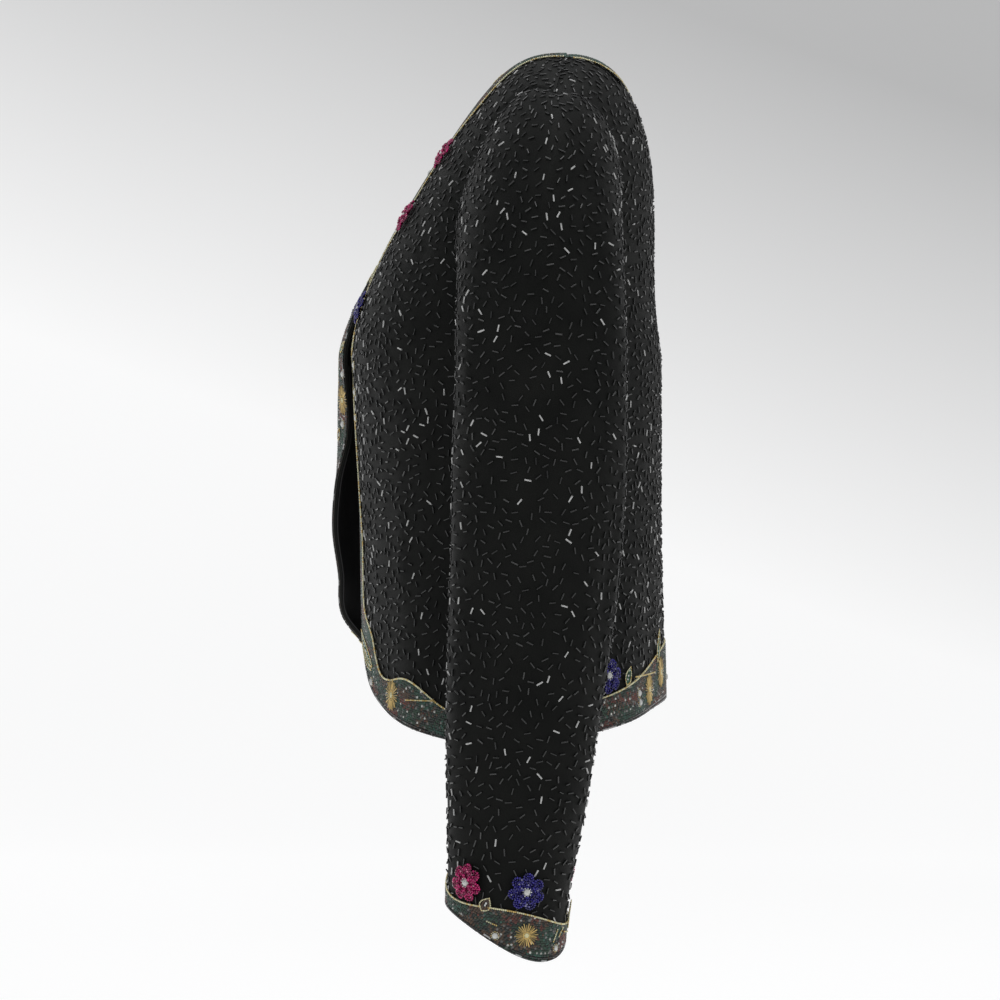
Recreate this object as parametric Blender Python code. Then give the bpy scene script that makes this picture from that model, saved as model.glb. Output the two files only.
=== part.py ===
"""Beaded evening jacket, worn and filled out, with a V neckline, cut-away fronts and set-in sleeves.

Metres, +Z up. The front faces -Y and the wearer's left is +X. The origin lies midway between the
two neck points, where the shoulder seams meet the neckline.
"""
import math

import bpy
import numpy as np
from mathutils import Vector
from mathutils.bvhtree import BVHTree

# Cloth and seams
CLOTH = 0.0016
SEAM_GAP = 0.0003
BAND_LIFT = 0.0003
BAND_TOP = 0.0018
LINING_LIFT = 0.0003
LINING = 0.0010
LINING_ROWS = 5
LINING_STATIONS = (14, 36)

# Body
SECTION_POWER = 2.3
UNDERARM_Z = -0.215
SIDE_Y = -0.046
NECK_X = 0.080
SHOULDER_X = 0.190
SHOULDER_DROP = 0.040
SHOULDER_SPREAD = 0.215
SHOULDER_Y = -0.010
BACK_NECK_DROP = 0.0324
BACK_NECK_POWER = 0.8
NECK_BAND = 0.024
SHOULDER_POWER = 1.4

# Rows of the body below the underarm: height, half width, front and back of the section
BODY = (
    # z, half_width, front_y, back_y
    (-0.215, 0.1840, -0.1575, 0.0720),
    (-0.270, 0.1815, -0.1545, 0.0720),
    (-0.330, 0.1800, -0.1510, 0.0715),
    (-0.400, 0.1830, -0.1500, 0.0720),
    (-0.475, 0.1880, -0.1495, 0.0725),
    (-0.520, 0.1900, -0.1495, 0.0730),
)

# Edge of a front from the side seam round the corner and up to the neck point
FRONT_EDGE = (
    # x, z
    (0.1500, -0.4815),
    (0.1200, -0.4720),
    (0.0930, -0.4610),
    (0.0700, -0.4450),
    (0.0480, -0.4180),
    (0.0300, -0.3850),
    (0.0140, -0.3400),
    (0.0000, -0.2950),
    (-0.0100, -0.2550),
    (-0.0120, -0.2150),
    (-0.0040, -0.1860),
    (0.0120, -0.1560),
    (0.0330, -0.1150),
    (0.0560, -0.0620),
    (0.0730, -0.0220),
)
FRONT_MIDDLE = (0.12, -0.30)
SIDE_HEM_Z = -0.499
BACK_HEM_Z = -0.470
HEM_POWER = 1.8

# How far the right front stands off the left one, by height, at three distances from its edge
LIFT_AT = (0.0, 0.026, 0.060, 0.110)
LIFT = (
    # z, at the edge, at the vine, at 60 mm
    (-0.110, 0.0000, 0.0000, 0.0000),
    (-0.170, 0.0040, 0.0065, 0.0030),
    (-0.220, 0.0062, 0.0110, 0.0060),
    (-0.275, 0.0075, 0.0150, 0.0075),
    (-0.310, 0.0180, 0.0180, 0.0085),
    (-0.345, 0.0225, 0.0180, 0.0085),
    (-0.380, 0.0195, 0.0150, 0.0075),
    (-0.412, 0.0185, 0.0115, 0.0060),
    (-0.435, 0.0045, 0.0040, 0.0025),
    (-0.470, 0.0000, 0.0000, 0.0000),
)

# Soft folds of the body: girth place as a share of the quarter, heights, width and depth
FRONT_FOLDS = (
    # share, top_z, bottom_z, width, depth
    (0.50, -0.200, -0.540, 0.036, -0.0030),
    (0.72, -0.240, -0.540, 0.030, 0.0026),
    (0.88, -0.230, -0.540, 0.026, -0.0028),
)
BACK_FOLDS = (
    # share, top_z, bottom_z, width, depth
    (-0.78, -0.220, -0.540, 0.034, -0.0036),
    (-0.52, -0.280, -0.540, 0.040, 0.0030),
    (-0.24, -0.300, -0.540, 0.038, -0.0028),
    (0.08, -0.290, -0.540, 0.042, 0.0026),
    (0.36, -0.270, -0.540, 0.040, -0.0030),
    (0.64, -0.230, -0.540, 0.036, 0.0032),
)

# Rise of the section to the shoulder and the armhole's two handles on the flat body
FRONT_RISE = (1.27, 0.363)
BACK_RISE = (1.05, 0.428)
FRONT_ARMHOLE = (
    # girth, height
    (-0.030, 0.022),
    (-0.078, -0.044),
)
BACK_ARMHOLE = (
    # girth, height
    (-0.052, 0.006),
    (-0.076, -0.160),
)

# Sleeve sections by height
SLEEVE_TOP_Z = -0.240
SLEEVE = (
    # z, centre_x, centre_y, half_width, half_depth
    (-0.240, 0.2420, -0.0200, 0.0490, 0.0580),
    (-0.323, 0.2400, -0.0220, 0.0480, 0.0590),
    (-0.391, 0.2400, -0.0255, 0.0470, 0.0570),
    (-0.487, 0.2390, -0.0335, 0.0450, 0.0510),
    (-0.548, 0.2380, -0.0380, 0.0430, 0.0455),
    (-0.582, 0.2370, -0.0415, 0.0410, 0.0420),
    (-0.640, 0.2360, -0.0455, 0.0390, 0.0385),
)
RIM_Z = -0.6098
RIM_OUTER = -0.0149
RIM_FRONT = 0.0128
RIM_TWIST = 0.0045

# Cap of a sleeve: lengths of its Bezier handles at the inner and the outer side of the arm, how
# fast the first grows, and how much the cap bends to the body and spreads along the armhole
CAP_LEAVE = (0.006, 0.058)
CAP_ARRIVE = (0.010, 0.135)
CAP_POWER = 0.8
CAP_BEND = 0.35
CAP_FLARE = 0.25

# Folds of a sleeve: angle round the arm, heights, width as an angle, depth
SLEEVE_FOLDS = (
    # angle, top_z, bottom_z, width, depth
    (24.0, -0.060, -0.300, 15.0, -0.0022),
    (-34.0, -0.070, -0.240, 14.0, -0.0024),
    (-8.0, -0.180, -0.420, 15.0, -0.0020),
    (38.0, -0.330, -0.520, 17.0, -0.0024),
    (-60.0, -0.280, -0.480, 18.0, -0.0026),
    (150.0, -0.260, -0.470, 22.0, -0.0026),
    (-140.0, -0.300, -0.520, 22.0, -0.0024),
)

# Band: mean width, height of its waves, their number along each edge, where they start, and the
# share of the edge over which they grow from either end
FRONT_BAND = (0.0260, 0.0060, 7.5, 0.45, 0.06)
BACK_BAND = (0.0330, 0.0105, 1.28, 0.14, 0.0)
CUFF_BAND = (0.0200, 0.0100, 2.0, 0.367, 0.0)

# Mesh divisions
EDGE_STEPS = 60
FRONT_ROWS = 8
BACK_COLUMNS = 32
SHOULDER_STEPS = 10
COLLAR_REACH = 2
COLLAR_TURNS = (math.radians(3.0), math.radians(10.0))
BACK_SIDE_ROWS = 7
ARM_STEPS = 10
CAP_ROWS = 6
ARM_ROWS = 9
STRIP_ROWS = 2
FLAT_STEP = 1e-4

# Raised flowers
FLOWER_RADIUS = 0.0120
FLOWER_WAIST = 0.0088
FLOWER_RIM = 0.0022
FLOWER_TOP = 0.0048
FLOWER_PETALS = 6
FLOWER_FLOAT = 0.0009

# Flowers by place along an edge, which all lie the same way inside the band
FLOWER_SPACE = 0.0145
FRONT_FLOWERS = (
    # colour, share of the edge from the side seam
    ("blue", 0.690),
    ("pink", 0.792),
    ("pink", 0.860),
)
BACK_FLOWERS = (
    # colour, share of the hem from the right side seam
    ("blue", 0.160),
    ("blue", 0.840),
)
CUFF_FLOWERS = (
    # colour, angle round the arm from its outer side, forward positive
    ("pink", 41.0),
    ("blue", -15.0),
    ("pink", -126.0),
    ("blue", 167.0),
)


def ramp(value, low, high):
    """Smooth step from 0 at low to 1 at high."""
    t = np.clip((np.asarray(value, float) - low) / (high - low), 0.0, 1.0)
    return t * t * (3.0 - 2.0 * t)


def from_table(rows, column, at):
    """Smooth curve through one column of a table, whose first column falls from row to row."""
    keys = np.array([row[0] for row in rows])[::-1]
    values = np.array([row[column] for row in rows])[::-1]
    slopes = np.gradient(values, keys)
    at = np.clip(np.asarray(at, float), keys[0], keys[-1])
    k = np.clip(np.searchsorted(keys, at) - 1, 0, len(keys) - 2)
    span = keys[k + 1] - keys[k]
    t = (at - keys[k]) / span
    keep = (2 * t ** 3 - 3 * t ** 2 + 1) * values[k] + (-2 * t ** 3 + 3 * t ** 2) * values[k + 1]
    bend = (t ** 3 - 2 * t ** 2 + t) * slopes[k] + (t ** 3 - t ** 2) * slopes[k + 1]
    return keep + bend * span


def even(points, steps):
    """Points at even spacing on the smooth curve through the given ones."""
    points = np.asarray(points, float)
    ends = np.vstack([2 * points[0] - points[1], points, 2 * points[-1] - points[-2]])
    dense = []
    for a, b, c, d in zip(ends[:-3], ends[1:-2], ends[2:-1], ends[3:]):
        for t in np.linspace(0.0, 1.0, 24, endpoint=False):
            dense.append(0.5 * (2 * b + (c - a) * t + (2 * a - 5 * b + 4 * c - d) * t ** 2
                                + (3 * b - a - 3 * c + d) * t ** 3))
    dense = np.array(dense + [points[-1]])
    run = np.concatenate([[0.0], np.cumsum(np.linalg.norm(np.diff(dense, axis=0), axis=1))])
    want = np.linspace(0.0, run[-1], steps + 1)
    return np.stack([np.interp(want, run, dense[:, k]) for k in range(dense.shape[1])], axis=1)


def bezier(a, b, c, d, t):
    t = np.asarray(t)[..., None]
    return (1 - t) ** 3 * a + 3 * t * (1 - t) ** 2 * b + 3 * t ** 2 * (1 - t) * c + t ** 3 * d


def unit(vectors):
    return vectors / np.maximum(np.linalg.norm(vectors, axis=-1, keepdims=True), 1e-12)


class Half:
    """The front or the back of the body, as a flat sheet: girth from the centre line, and height.

    A girth of `quarter` is the side seam. Height 0 is the underarm and `top` the shoulder seam.
    """

    def __init__(self, front):
        self.front = front
        self.depth_column = 2 if front else 3
        self.rise_power, self.round_power = FRONT_RISE if front else BACK_RISE
        self.handles = FRONT_ARMHOLE if front else BACK_ARMHOLE
        turn = np.linspace(0.0, math.pi / 2, 400)
        self.across = np.sin(turn) ** (2 / SECTION_POWER)
        self.forward = np.cos(turn) ** (2 / SECTION_POWER)
        depth = abs(self.depth(UNDERARM_Z))
        steps = np.hypot(np.diff(self.across) * BODY[0][1], np.diff(self.forward) * depth)
        self.girth = np.concatenate([[0.0], np.cumsum(steps)])
        self.quarter = self.girth[-1]
        self.rise = 1.0 - np.linspace(1.0, 0.0, 600) ** 2.5
        y, z = self.upper(0.6, self.rise)[1:]
        self.climb = np.concatenate([[0.0], np.cumsum(np.hypot(np.diff(y), np.diff(z)))])
        self.top = self.climb[-1]

    def depth(self, z):
        return from_table(BODY, self.depth_column, z) - SIDE_Y

    def upper(self, share, rise):
        """Point above the underarm, for a share of the half width and a share of the rise."""
        width = BODY[0][1] + (SHOULDER_SPREAD - BODY[0][1]) * rise ** 2
        x = share * width
        slope = np.clip((np.abs(x) - NECK_X) / (SHOULDER_X - NECK_X), 0.0, 2.0)
        drop = slope ** SHOULDER_POWER
        z = UNDERARM_Z + rise * (-SHOULDER_DROP * drop - UNDERARM_Z)
        arch = np.maximum(1.0 - rise ** self.rise_power, 0.0) ** self.round_power
        section = np.maximum(1.0 - np.abs(share) ** SECTION_POWER, 0.0) ** (1 / SECTION_POWER)
        lean = ramp(rise, 0.0, 1.0)
        y = SIDE_Y * (1.0 - lean) + SHOULDER_Y * np.minimum(drop, 1.0) * lean
        return x, y + self.depth(UNDERARM_Z) * section * arch, z

    def place(self, girth, height):
        """Point of the smooth outer surface."""
        girth, height = np.asarray(girth, float), np.asarray(height, float)
        share = np.interp(np.abs(girth), self.girth, self.across)
        section = np.interp(np.abs(girth), self.girth, self.forward)
        low = np.minimum(height, 0.0) + UNDERARM_Z
        x_low = share * from_table(BODY, 1, low)
        y_low = SIDE_Y + self.depth(low) * section
        x_up, y_up, z_up = self.upper(share, np.interp(height, self.climb, self.rise))
        below = height < 0.0
        x = np.where(below, x_low, x_up) * np.where(girth < 0.0, -1.0, 1.0)
        point = np.stack([x, np.where(below, y_low, y_up), np.where(below, low, z_up)], axis=-1)
        return point + self.folds(girth, point)

    def folds(self, girth, point):
        middle = np.array([0.0, SIDE_Y, 0.0])
        outward = (point - middle) * np.array([1.0, 1.0, 0.0])
        depth = np.zeros(np.shape(girth))
        for share, top, bottom, width, amount in FRONT_FOLDS if self.front else BACK_FOLDS:
            near = np.exp(-((girth - share * self.quarter) / width) ** 2)
            depth = depth + amount * near * ramp(-point[..., 2], -top, -bottom)
        depth = depth * (1.0 - (np.abs(girth) / self.quarter) ** 12)
        return unit(outward) * depth[..., None]

    def flat(self, x, z):
        """Girth and height of a point given by its x and z."""
        if z <= UNDERARM_Z:
            share, height = abs(x) / from_table(BODY, 1, z), z - UNDERARM_Z
        else:
            slope = max(abs(x) - NECK_X, 0.0) / (SHOULDER_X - NECK_X)
            rise = (z - UNDERARM_Z) / (-SHOULDER_DROP * slope ** SHOULDER_POWER - UNDERARM_Z)
            width = BODY[0][1] + (SHOULDER_SPREAD - BODY[0][1]) * rise ** 2
            share, height = abs(x) / width, np.interp(rise, self.rise, self.climb)
        girth = np.interp(min(share, 1.0), self.across, self.girth)
        return math.copysign(float(girth), x), float(height)

    def armhole(self, steps):
        """Flat line from the underarm point up to the shoulder point."""
        shoulder = np.interp(SHOULDER_X / SHOULDER_SPREAD, self.across, self.girth)
        start, end = np.array([self.quarter, 0.0]), np.array([shoulder, self.top])
        low, high = start + self.handles[0], end + self.handles[1]
        return even(bezier(start, low, high, end, np.linspace(0.0, 1.0, 30)), steps)


FRONT, BACK = Half(True), Half(False)


def lift_of_right(x, z, edge_x):
    """How far the right front stands forward, from its distance to its own edge."""
    distance = np.clip(edge_x - x, 0.0, LIFT_AT[-1])
    columns = [from_table(LIFT, k, z) for k in (1, 2, 3)] + [np.zeros_like(z)]
    table = tuple((-at,) for at in LIFT_AT)
    result = np.zeros_like(z)
    for index in np.ndindex(z.shape):
        rows = [(key[0], column[index]) for key, column in zip(table, columns)]
        result[index] = from_table(rows, 1, -distance[index])
    return np.maximum(result, 0.0)


def edge_x_at(z):
    """Where the right front's own edge stands at a height."""
    rows = [(zz, -xx) for xx, zz in FRONT_EDGE][::-1]
    return from_table(rows, 1, z)


def front_place(flat, side):
    """Outer surface of the left front for side 1, or of the lifted right front for side -1."""
    point = FRONT.place(flat[..., 0], flat[..., 1])
    if side > 0:
        return point
    point = point * np.array([-1.0, 1.0, 1.0])
    z = point[..., 2]
    point[..., 1] -= lift_of_right(point[..., 0], z, edge_x_at(z))
    return point


def inward(half, line, aim):
    """Unit step on the flat sheet that leaves a line squarely, in real size, towards the aim side."""
    line = np.minimum(line, [half.quarter, half.top - 2 * FLAT_STEP])
    right, up = np.array([FLAT_STEP, 0.0]), np.array([0.0, FLAT_STEP])
    du = (half.place(*(line + right).T) - half.place(*(line - right).T)) / (2 * FLAT_STEP)
    dv = (half.place(*(line + up).T) - half.place(*(line - up).T)) / (2 * FLAT_STEP)
    along = np.gradient(line, axis=0)
    g11, g12, g22 = (du * du).sum(-1), (du * dv).sum(-1), (dv * dv).sum(-1)
    across = np.stack([-(g12 * along[:, 0] + g22 * along[:, 1]),
                       g11 * along[:, 0] + g12 * along[:, 1]], axis=-1)
    across *= np.sign((across * aim).sum(-1, keepdims=True))
    size = np.sqrt(g11 * across[:, 0] ** 2 + 2 * g12 * across[:, 0] * across[:, 1]
                   + g22 * across[:, 1] ** 2)
    return across / size[:, None]


def coons(start, end, first, last):
    """Grid of flat points between two lines (rows 0 and -1) and two sides (columns 0 and -1)."""
    s = np.linspace(0.0, 1.0, len(start))[:, None, None]
    t = np.linspace(0.0, 1.0, len(first))[None, :, None]
    corners = ((1 - s) * (1 - t) * start[0] + s * (1 - t) * start[-1]
               + (1 - s) * t * end[0] + s * t * end[-1])
    return ((1 - t) * start[:, None] + t * end[:, None]
            + (1 - s) * first[None] + s * last[None] - corners)


def band_width(band, share):
    """Width of the band at a share of its edge."""
    mean, wave, count, start, grow = band
    share = np.asarray(share)
    if grow:
        wave = wave * ramp(np.minimum(share, 1.0 - share), -grow / 3, grow)
    return mean - wave * np.cos(2 * math.pi * (count * share - start))


def front_flat():
    """Flat grid of a front: stations along the edge, rows from the edge to the armhole."""
    points = [FRONT.flat(x, z) for x, z in FRONT_EDGE]
    hem = (FRONT.quarter, SIDE_HEM_Z - UNDERARM_Z)
    neck = FRONT.flat(NECK_X, 0.0)
    edge = even([hem] + points + [neck], EDGE_STEPS)
    middle = np.array(FRONT.flat(*FRONT_MIDDLE))
    away = inward(FRONT, edge, middle - edge)
    away[0], away[-1] = (0.0, 1.0), (abs(away[-1][0]), 0.0)
    width = band_width(FRONT_BAND, np.linspace(0.0, 1.0, EDGE_STEPS + 1))
    strip = [edge + away * (width * k / STRIP_ROWS)[:, None] for k in range(STRIP_ROWS + 1)]
    arm = FRONT.armhole(EDGE_STEPS)
    share = np.linspace(0.0, 1.0, FRONT_ROWS + 1)[:, None]
    first = strip[-1][0] * (1 - share) + arm[0] * share
    last = strip[-1][-1] * (1 - share) + arm[-1] * share
    rest = coons(strip[-1], arm, first, last)
    return np.concatenate([np.stack(strip[:-1], axis=1), rest], axis=1), edge, away


def back_flat():
    """Flat grid of the back: columns from right to left, rows from the hem up."""
    sag = np.linspace(-1.0, 1.0, BACK_COLUMNS + 1)
    girth = sag * BACK.quarter
    hem_z = BACK_HEM_Z + (SIDE_HEM_Z - BACK_HEM_Z) * np.abs(sag) ** HEM_POWER
    hem = np.stack([girth, hem_z - UNDERARM_Z], axis=-1)
    width = band_width(BACK_BAND, (sag + 1) / 2)
    strip = [hem + np.stack([girth * 0, width * k / STRIP_ROWS], axis=-1) for k in range(STRIP_ROWS + 1)]
    arm = BACK.armhole(ARM_STEPS)
    side_t = np.linspace(0.0, 1.0, BACK_SIDE_ROWS + 1)[:-1, None]
    side = strip[-1][-1] * (1 - side_t) + np.array([BACK.quarter, 0.0]) * side_t
    last = np.concatenate([side, arm[:-1]])
    first = last * [-1.0, 1.0]
    top, collar = back_top(arm[-1], arm[-2])
    rest = coons(strip[-1], collar, first, last)
    return np.concatenate([np.stack(strip[:-1], axis=1), rest, top[:, None]], axis=1)


def back_top(shoulder, below):
    """Flat lines over the right shoulder, round the neck and over the left one.

    The first is the seam and the neckline, and the second the outer edge of the neck band.
    """
    neck = np.interp(NECK_X / SHOULDER_SPREAD, BACK.across, BACK.girth)
    share = np.linspace(0.0, 1.0, SHOULDER_STEPS + 1)[:, None]
    seam = shoulder * (1 - share) + np.array([neck, BACK.top]) * share
    around = BACK_COLUMNS - 2 * SHOULDER_STEPS + 1
    neckline = round_neck(neck, BACK_NECK_DROP, np.linspace(0.0, math.pi, around))
    top = np.concatenate([seam[:-1], neckline, (seam * [-1.0, 1.0])[::-1][1:]])

    start, reach = COLLAR_TURNS
    turns = np.linspace(reach, math.pi - reach, around)
    turns = np.concatenate([np.linspace(start, reach, COLLAR_REACH + 1)[:-1], turns])
    edge = round_neck(neck + NECK_BAND, BACK_NECK_DROP + NECK_BAND, turns)
    share = np.linspace(0.0, 1.0, SHOULDER_STEPS - COLLAR_REACH + 1)[:-1, None]
    over = below * (1 - share) + edge[0] * share
    half = np.concatenate([over, edge[:COLLAR_REACH]])
    collar = np.concatenate([half, edge[COLLAR_REACH:], (half * [-1.0, 1.0])[::-1]])
    return top[::-1], collar[::-1]


def round_neck(half_width, drop, turn):
    """Flat points of a line round the back of the neck, from left to right."""
    bow = drop * np.sin(turn) ** BACK_NECK_POWER
    return np.stack([half_width * np.cos(turn), BACK.top - bow], axis=-1)


def grid_normals(grid, outside):
    """Unit normals of a grid of points, turned to the side of the given sign."""
    du = np.gradient(grid, axis=0)
    dv = np.gradient(grid, axis=1)
    return unit(np.cross(du, dv)) * outside


def pull_in(grid, border, neighbour):
    """Moves one border of a grid half a seam gap towards the points beside it."""
    grid[border] += unit(grid[neighbour] - grid[border]) * SEAM_GAP / 2


def off_armhole(loop, normals, towards):
    """Half a seam gap from the armhole to one side of it, square to its edge."""
    along = np.roll(loop, -1, axis=0) - np.roll(loop, 1, axis=0)
    out = unit(np.cross(normals, along))
    return out * np.sign((out * towards).sum(-1, keepdims=True)) * SEAM_GAP / 2


def shell(points, normals, faces, low, high):
    """Vertices and faces of a closed wall between two offsets of an open sheet of faces.

    The wall along the rim is split by its shorter diagonals, so two pieces split a seam alike.
    """
    used = sorted({k for face in faces for k in face})
    index = {k: n for n, k in enumerate(used)}
    base, away = points[used], normals[used]
    vertices = np.concatenate([base + away * high, base + away * low])
    count = len(used)
    upper = [[index[k] for k in face] for face in faces]
    lower = [[k + count for k in reversed(face)] for face in upper]
    once = {}
    for face in upper:
        for a, b in zip(face, face[1:] + face[:1]):
            if once.pop((b, a), None) is None:
                once[(a, b)] = True
    rim = []
    for a, b in once:
        c, d = a + count, b + count
        if np.linalg.norm(vertices[a] - vertices[d]) < np.linalg.norm(vertices[b] - vertices[c]):
            rim += [[b, a, d], [a, c, d]]
        else:
            rim += [[b, a, c], [b, c, d]]
    return vertices, upper + lower + rim


def grid_faces(columns, first_row, last_row, rows, flip, coarse_from=None, mirrored=0):
    """Triangles of a grid; from row coarse_from on, each step takes two stations.

    The diagonals of the first `mirrored` columns lean the other way.
    """
    def at(i, j):
        return i * rows + j

    faces = []
    for j in range(first_row, last_row):
        step = 1 if coarse_from is None or j < coarse_from else 2
        for i in range(0, columns, step):
            near, far = at(i, j), at(i + step, j)
            above, beyond = at(i, j + 1), at(i + step, j + 1)
            if j == coarse_from:
                middle = at(i + 1, j)
                faces += [[near, middle, above], [middle, far, beyond], [middle, beyond, above]]
            elif i < mirrored:
                faces += [[near, far, above], [far, beyond, above]]
            else:
                faces += [[near, far, beyond], [near, beyond, above]]
    return [face[::-1] for face in faces] if flip else faces


def material(name, colour, roughness, metallic=0.0):
    made = bpy.data.materials.new(name)
    made.use_nodes = True
    shader = made.node_tree.nodes["Principled BSDF"]
    shader.inputs["Base Color"].default_value = (*colour, 1.0)
    shader.inputs["Roughness"].default_value = roughness
    shader.inputs["Metallic"].default_value = metallic
    return made


def add(name, vertices, faces, finish):
    """One smooth-shaded object from vertices and faces."""
    mesh = bpy.data.meshes.new(name)
    mesh.from_pydata([tuple(v) for v in vertices], [], faces)
    mesh.validate()
    mesh.shade_smooth()
    mesh.set_sharp_from_angle(angle=math.radians(50))
    made = bpy.data.objects.new(name, mesh)
    bpy.context.scene.collection.objects.link(made)
    made.data.materials.append(finish)
    return made


def mitre(body, sleeve):
    """Common wall direction where a panel meets the sleeve, long enough to keep the wall's thickness."""
    both = unit(body + sleeve)
    return both / np.maximum((both * body).sum(-1, keepdims=True), 0.6)


def sleeve_ring(z, angle):
    """Point of the hanging sleeve: angle 0 faces out from the body, 90 the front."""
    x = from_table(SLEEVE, 1, z) + from_table(SLEEVE, 3, z) * np.cos(angle)
    y = from_table(SLEEVE, 2, z) - from_table(SLEEVE, 4, z) * np.sin(angle)
    return np.stack([x, y, z], axis=-1)


def rim_height(angle):
    """Height of the slanted cuff edge round the arm."""
    return RIM_Z + RIM_OUTER * np.cos(angle) + RIM_FRONT * np.sin(angle) + RIM_TWIST * np.sin(2 * angle)


def vine_height(angle):
    """Height of the top of the cuff's band round the arm."""
    return rim_height(angle) + band_width(CUFF_BAND, angle / (2 * math.pi))


def sleeve_folds(point, angle):
    """Depth of the folds at points of the sleeve."""
    degrees = np.degrees(angle)
    depth = np.zeros(point.shape[:-1])
    for centre, top, bottom, width, amount in SLEEVE_FOLDS:
        off = (degrees - centre + 180.0) % 360.0 - 180.0
        along = np.sin(math.pi * np.clip((point[..., 2] - top) / (bottom - top), 0.0, 1.0))
        depth += amount * np.exp(-(off / width) ** 2) * along
    return depth


def sleeve_grid(armhole, body_normals, angle):
    """Rings from the armhole to the cuff, each with one point for each armhole station."""
    top = sleeve_ring(np.full_like(angle, SLEEVE_TOP_Z), angle)
    outer = (1 + np.cos(angle)) / 2
    leave = CAP_LEAVE[0] + (CAP_LEAVE[1] - CAP_LEAVE[0]) * outer ** CAP_POWER
    arrive = CAP_ARRIVE[0] + (CAP_ARRIVE[1] - CAP_ARRIVE[0]) * outer
    out = np.array([1.0, 0.0, 0.0]) - CAP_BEND * body_normals * (body_normals[:, :1] > 0)
    out = unit(unit(out) * [1.0, CAP_FLARE, CAP_FLARE])
    first = armhole + out * leave[:, None]
    second = top + np.array([0.0, 0.0, 1.0]) * arrive[:, None]
    rows = [bezier(armhole, first, second, top, np.full(len(angle), t))
            for t in np.linspace(0.0, 1.0, CAP_ROWS + 1)]
    rim, vine = rim_height(angle), vine_height(angle)
    for t in np.linspace(0.0, 1.0, ARM_ROWS + 1)[1:]:
        rows.append(sleeve_ring(SLEEVE_TOP_Z * (1 - t) + vine * t, angle))
    for t in np.linspace(0.0, 1.0, STRIP_ROWS + 1)[1:]:
        rows.append(sleeve_ring(vine * (1 - t) + rim * t, angle))
    grid = np.stack(rows)
    axis = np.stack([from_table(SLEEVE, 1, grid[..., 2]), from_table(SLEEVE, 2, grid[..., 2]),
                     grid[..., 2]], axis=-1)
    grid += unit(grid - axis) * sleeve_folds(grid, np.broadcast_to(angle, grid.shape[:2]))[..., None]
    return grid


def ring_normals(grid):
    """Unit normals of a tube of rings, pointing out of it."""
    round_step = np.roll(grid, -1, axis=1) - np.roll(grid, 1, axis=1)
    down = np.gradient(grid, axis=0)
    return unit(np.cross(round_step, down))


def flower(name, lay, finish):
    """A low rosette; lay(right, up) gives the spot and the normal at an offset from its middle."""
    count = 2 * FLOWER_PETALS
    foot, rim = [], []
    for k in range(count):
        radius = FLOWER_RADIUS if k % 2 == 0 else FLOWER_WAIST
        turn = 2 * math.pi * k / count
        spot, normal = lay(radius * math.cos(turn), radius * math.sin(turn))
        foot.append(spot + normal * FLOWER_FLOAT)
        rim.append(spot + normal * (FLOWER_FLOAT + FLOWER_RIM))
    spot, normal = lay(0.0, 0.0)
    vertices = foot + rim + [spot + normal * FLOWER_FLOAT, spot + normal * (FLOWER_FLOAT + FLOWER_TOP)]
    faces = []
    for k in range(count):
        n = (k + 1) % count
        faces.append([k, n, count + n, count + k])
        faces.append([count + k, count + n, 2 * count + 1])
        faces.append([n, k, 2 * count])
    return add(name, vertices, faces, finish)


def on_panel(tree, centre, across, up):
    """Lays a flower on the outer faces of a panel."""
    def lay(right, rise):
        spot, normal = tree.find_nearest(Vector(centre + right * across + rise * up))[:2]
        return np.array(spot), np.array(normal)

    return lay


def on_sleeve(side, angle, z):
    """Lays a flower on the round of a sleeve."""
    arm = (from_table(SLEEVE, 3, z) + from_table(SLEEVE, 4, z)) / 2

    def lay(right, rise):
        turn = np.array(angle - side * right / arm)
        height = z + rise
        normal = unit(np.array([math.cos(turn) / from_table(SLEEVE, 3, height),
                                -math.sin(turn) / from_table(SLEEVE, 4, height), 0.0]))
        return sleeve_ring(height, turn) * [side, 1.0, 1.0], normal * [side, 1.0, 1.0]

    return lay


def outer_tree(points, faces):
    """Search tree over the outer faces of a panel."""
    return BVHTree.FromPolygons([tuple(p) for p in points], faces)


def frame_at(place, flat):
    """A point of a surface with two unit directions along it."""
    du = place(flat + [FLAT_STEP, 0.0]) - place(flat - [FLAT_STEP, 0.0])
    across = du / np.linalg.norm(du)
    dv = place(flat + [0.0, FLAT_STEP]) - place(flat - [0.0, FLAT_STEP])
    up = dv - across * (dv @ across)
    return place(flat), across, up / np.linalg.norm(up)


def share_seams(left, right, rear, normals):
    """Gives both sides of the side and shoulder seams the same wall direction."""
    seam = SHOULDER_STEPS + 1
    for side, panel in ((1, left), (-1, right)):
        normals[side][0, :] = (side, 0.0, 0.0)
        normals[side][-1, :] = over_shoulder(panel[-1])
    for side, column in ((-1, 0), (1, -1)):
        normals["rear"][column, :-ARM_STEPS] = (side, 0.0, 0.0)
    for span in (slice(0, seam), slice(-seam, None)):
        normals["rear"][span, -1] = over_shoulder(rear[span, -1])


def over_shoulder(line):
    """Upward directions square to a shoulder seam."""
    run = np.gradient(line, axis=0)
    up = np.stack([-run[:, 2], np.zeros(len(line)), run[:, 0]], axis=-1)
    return unit(up * np.sign(up[:, 2:]))


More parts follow.
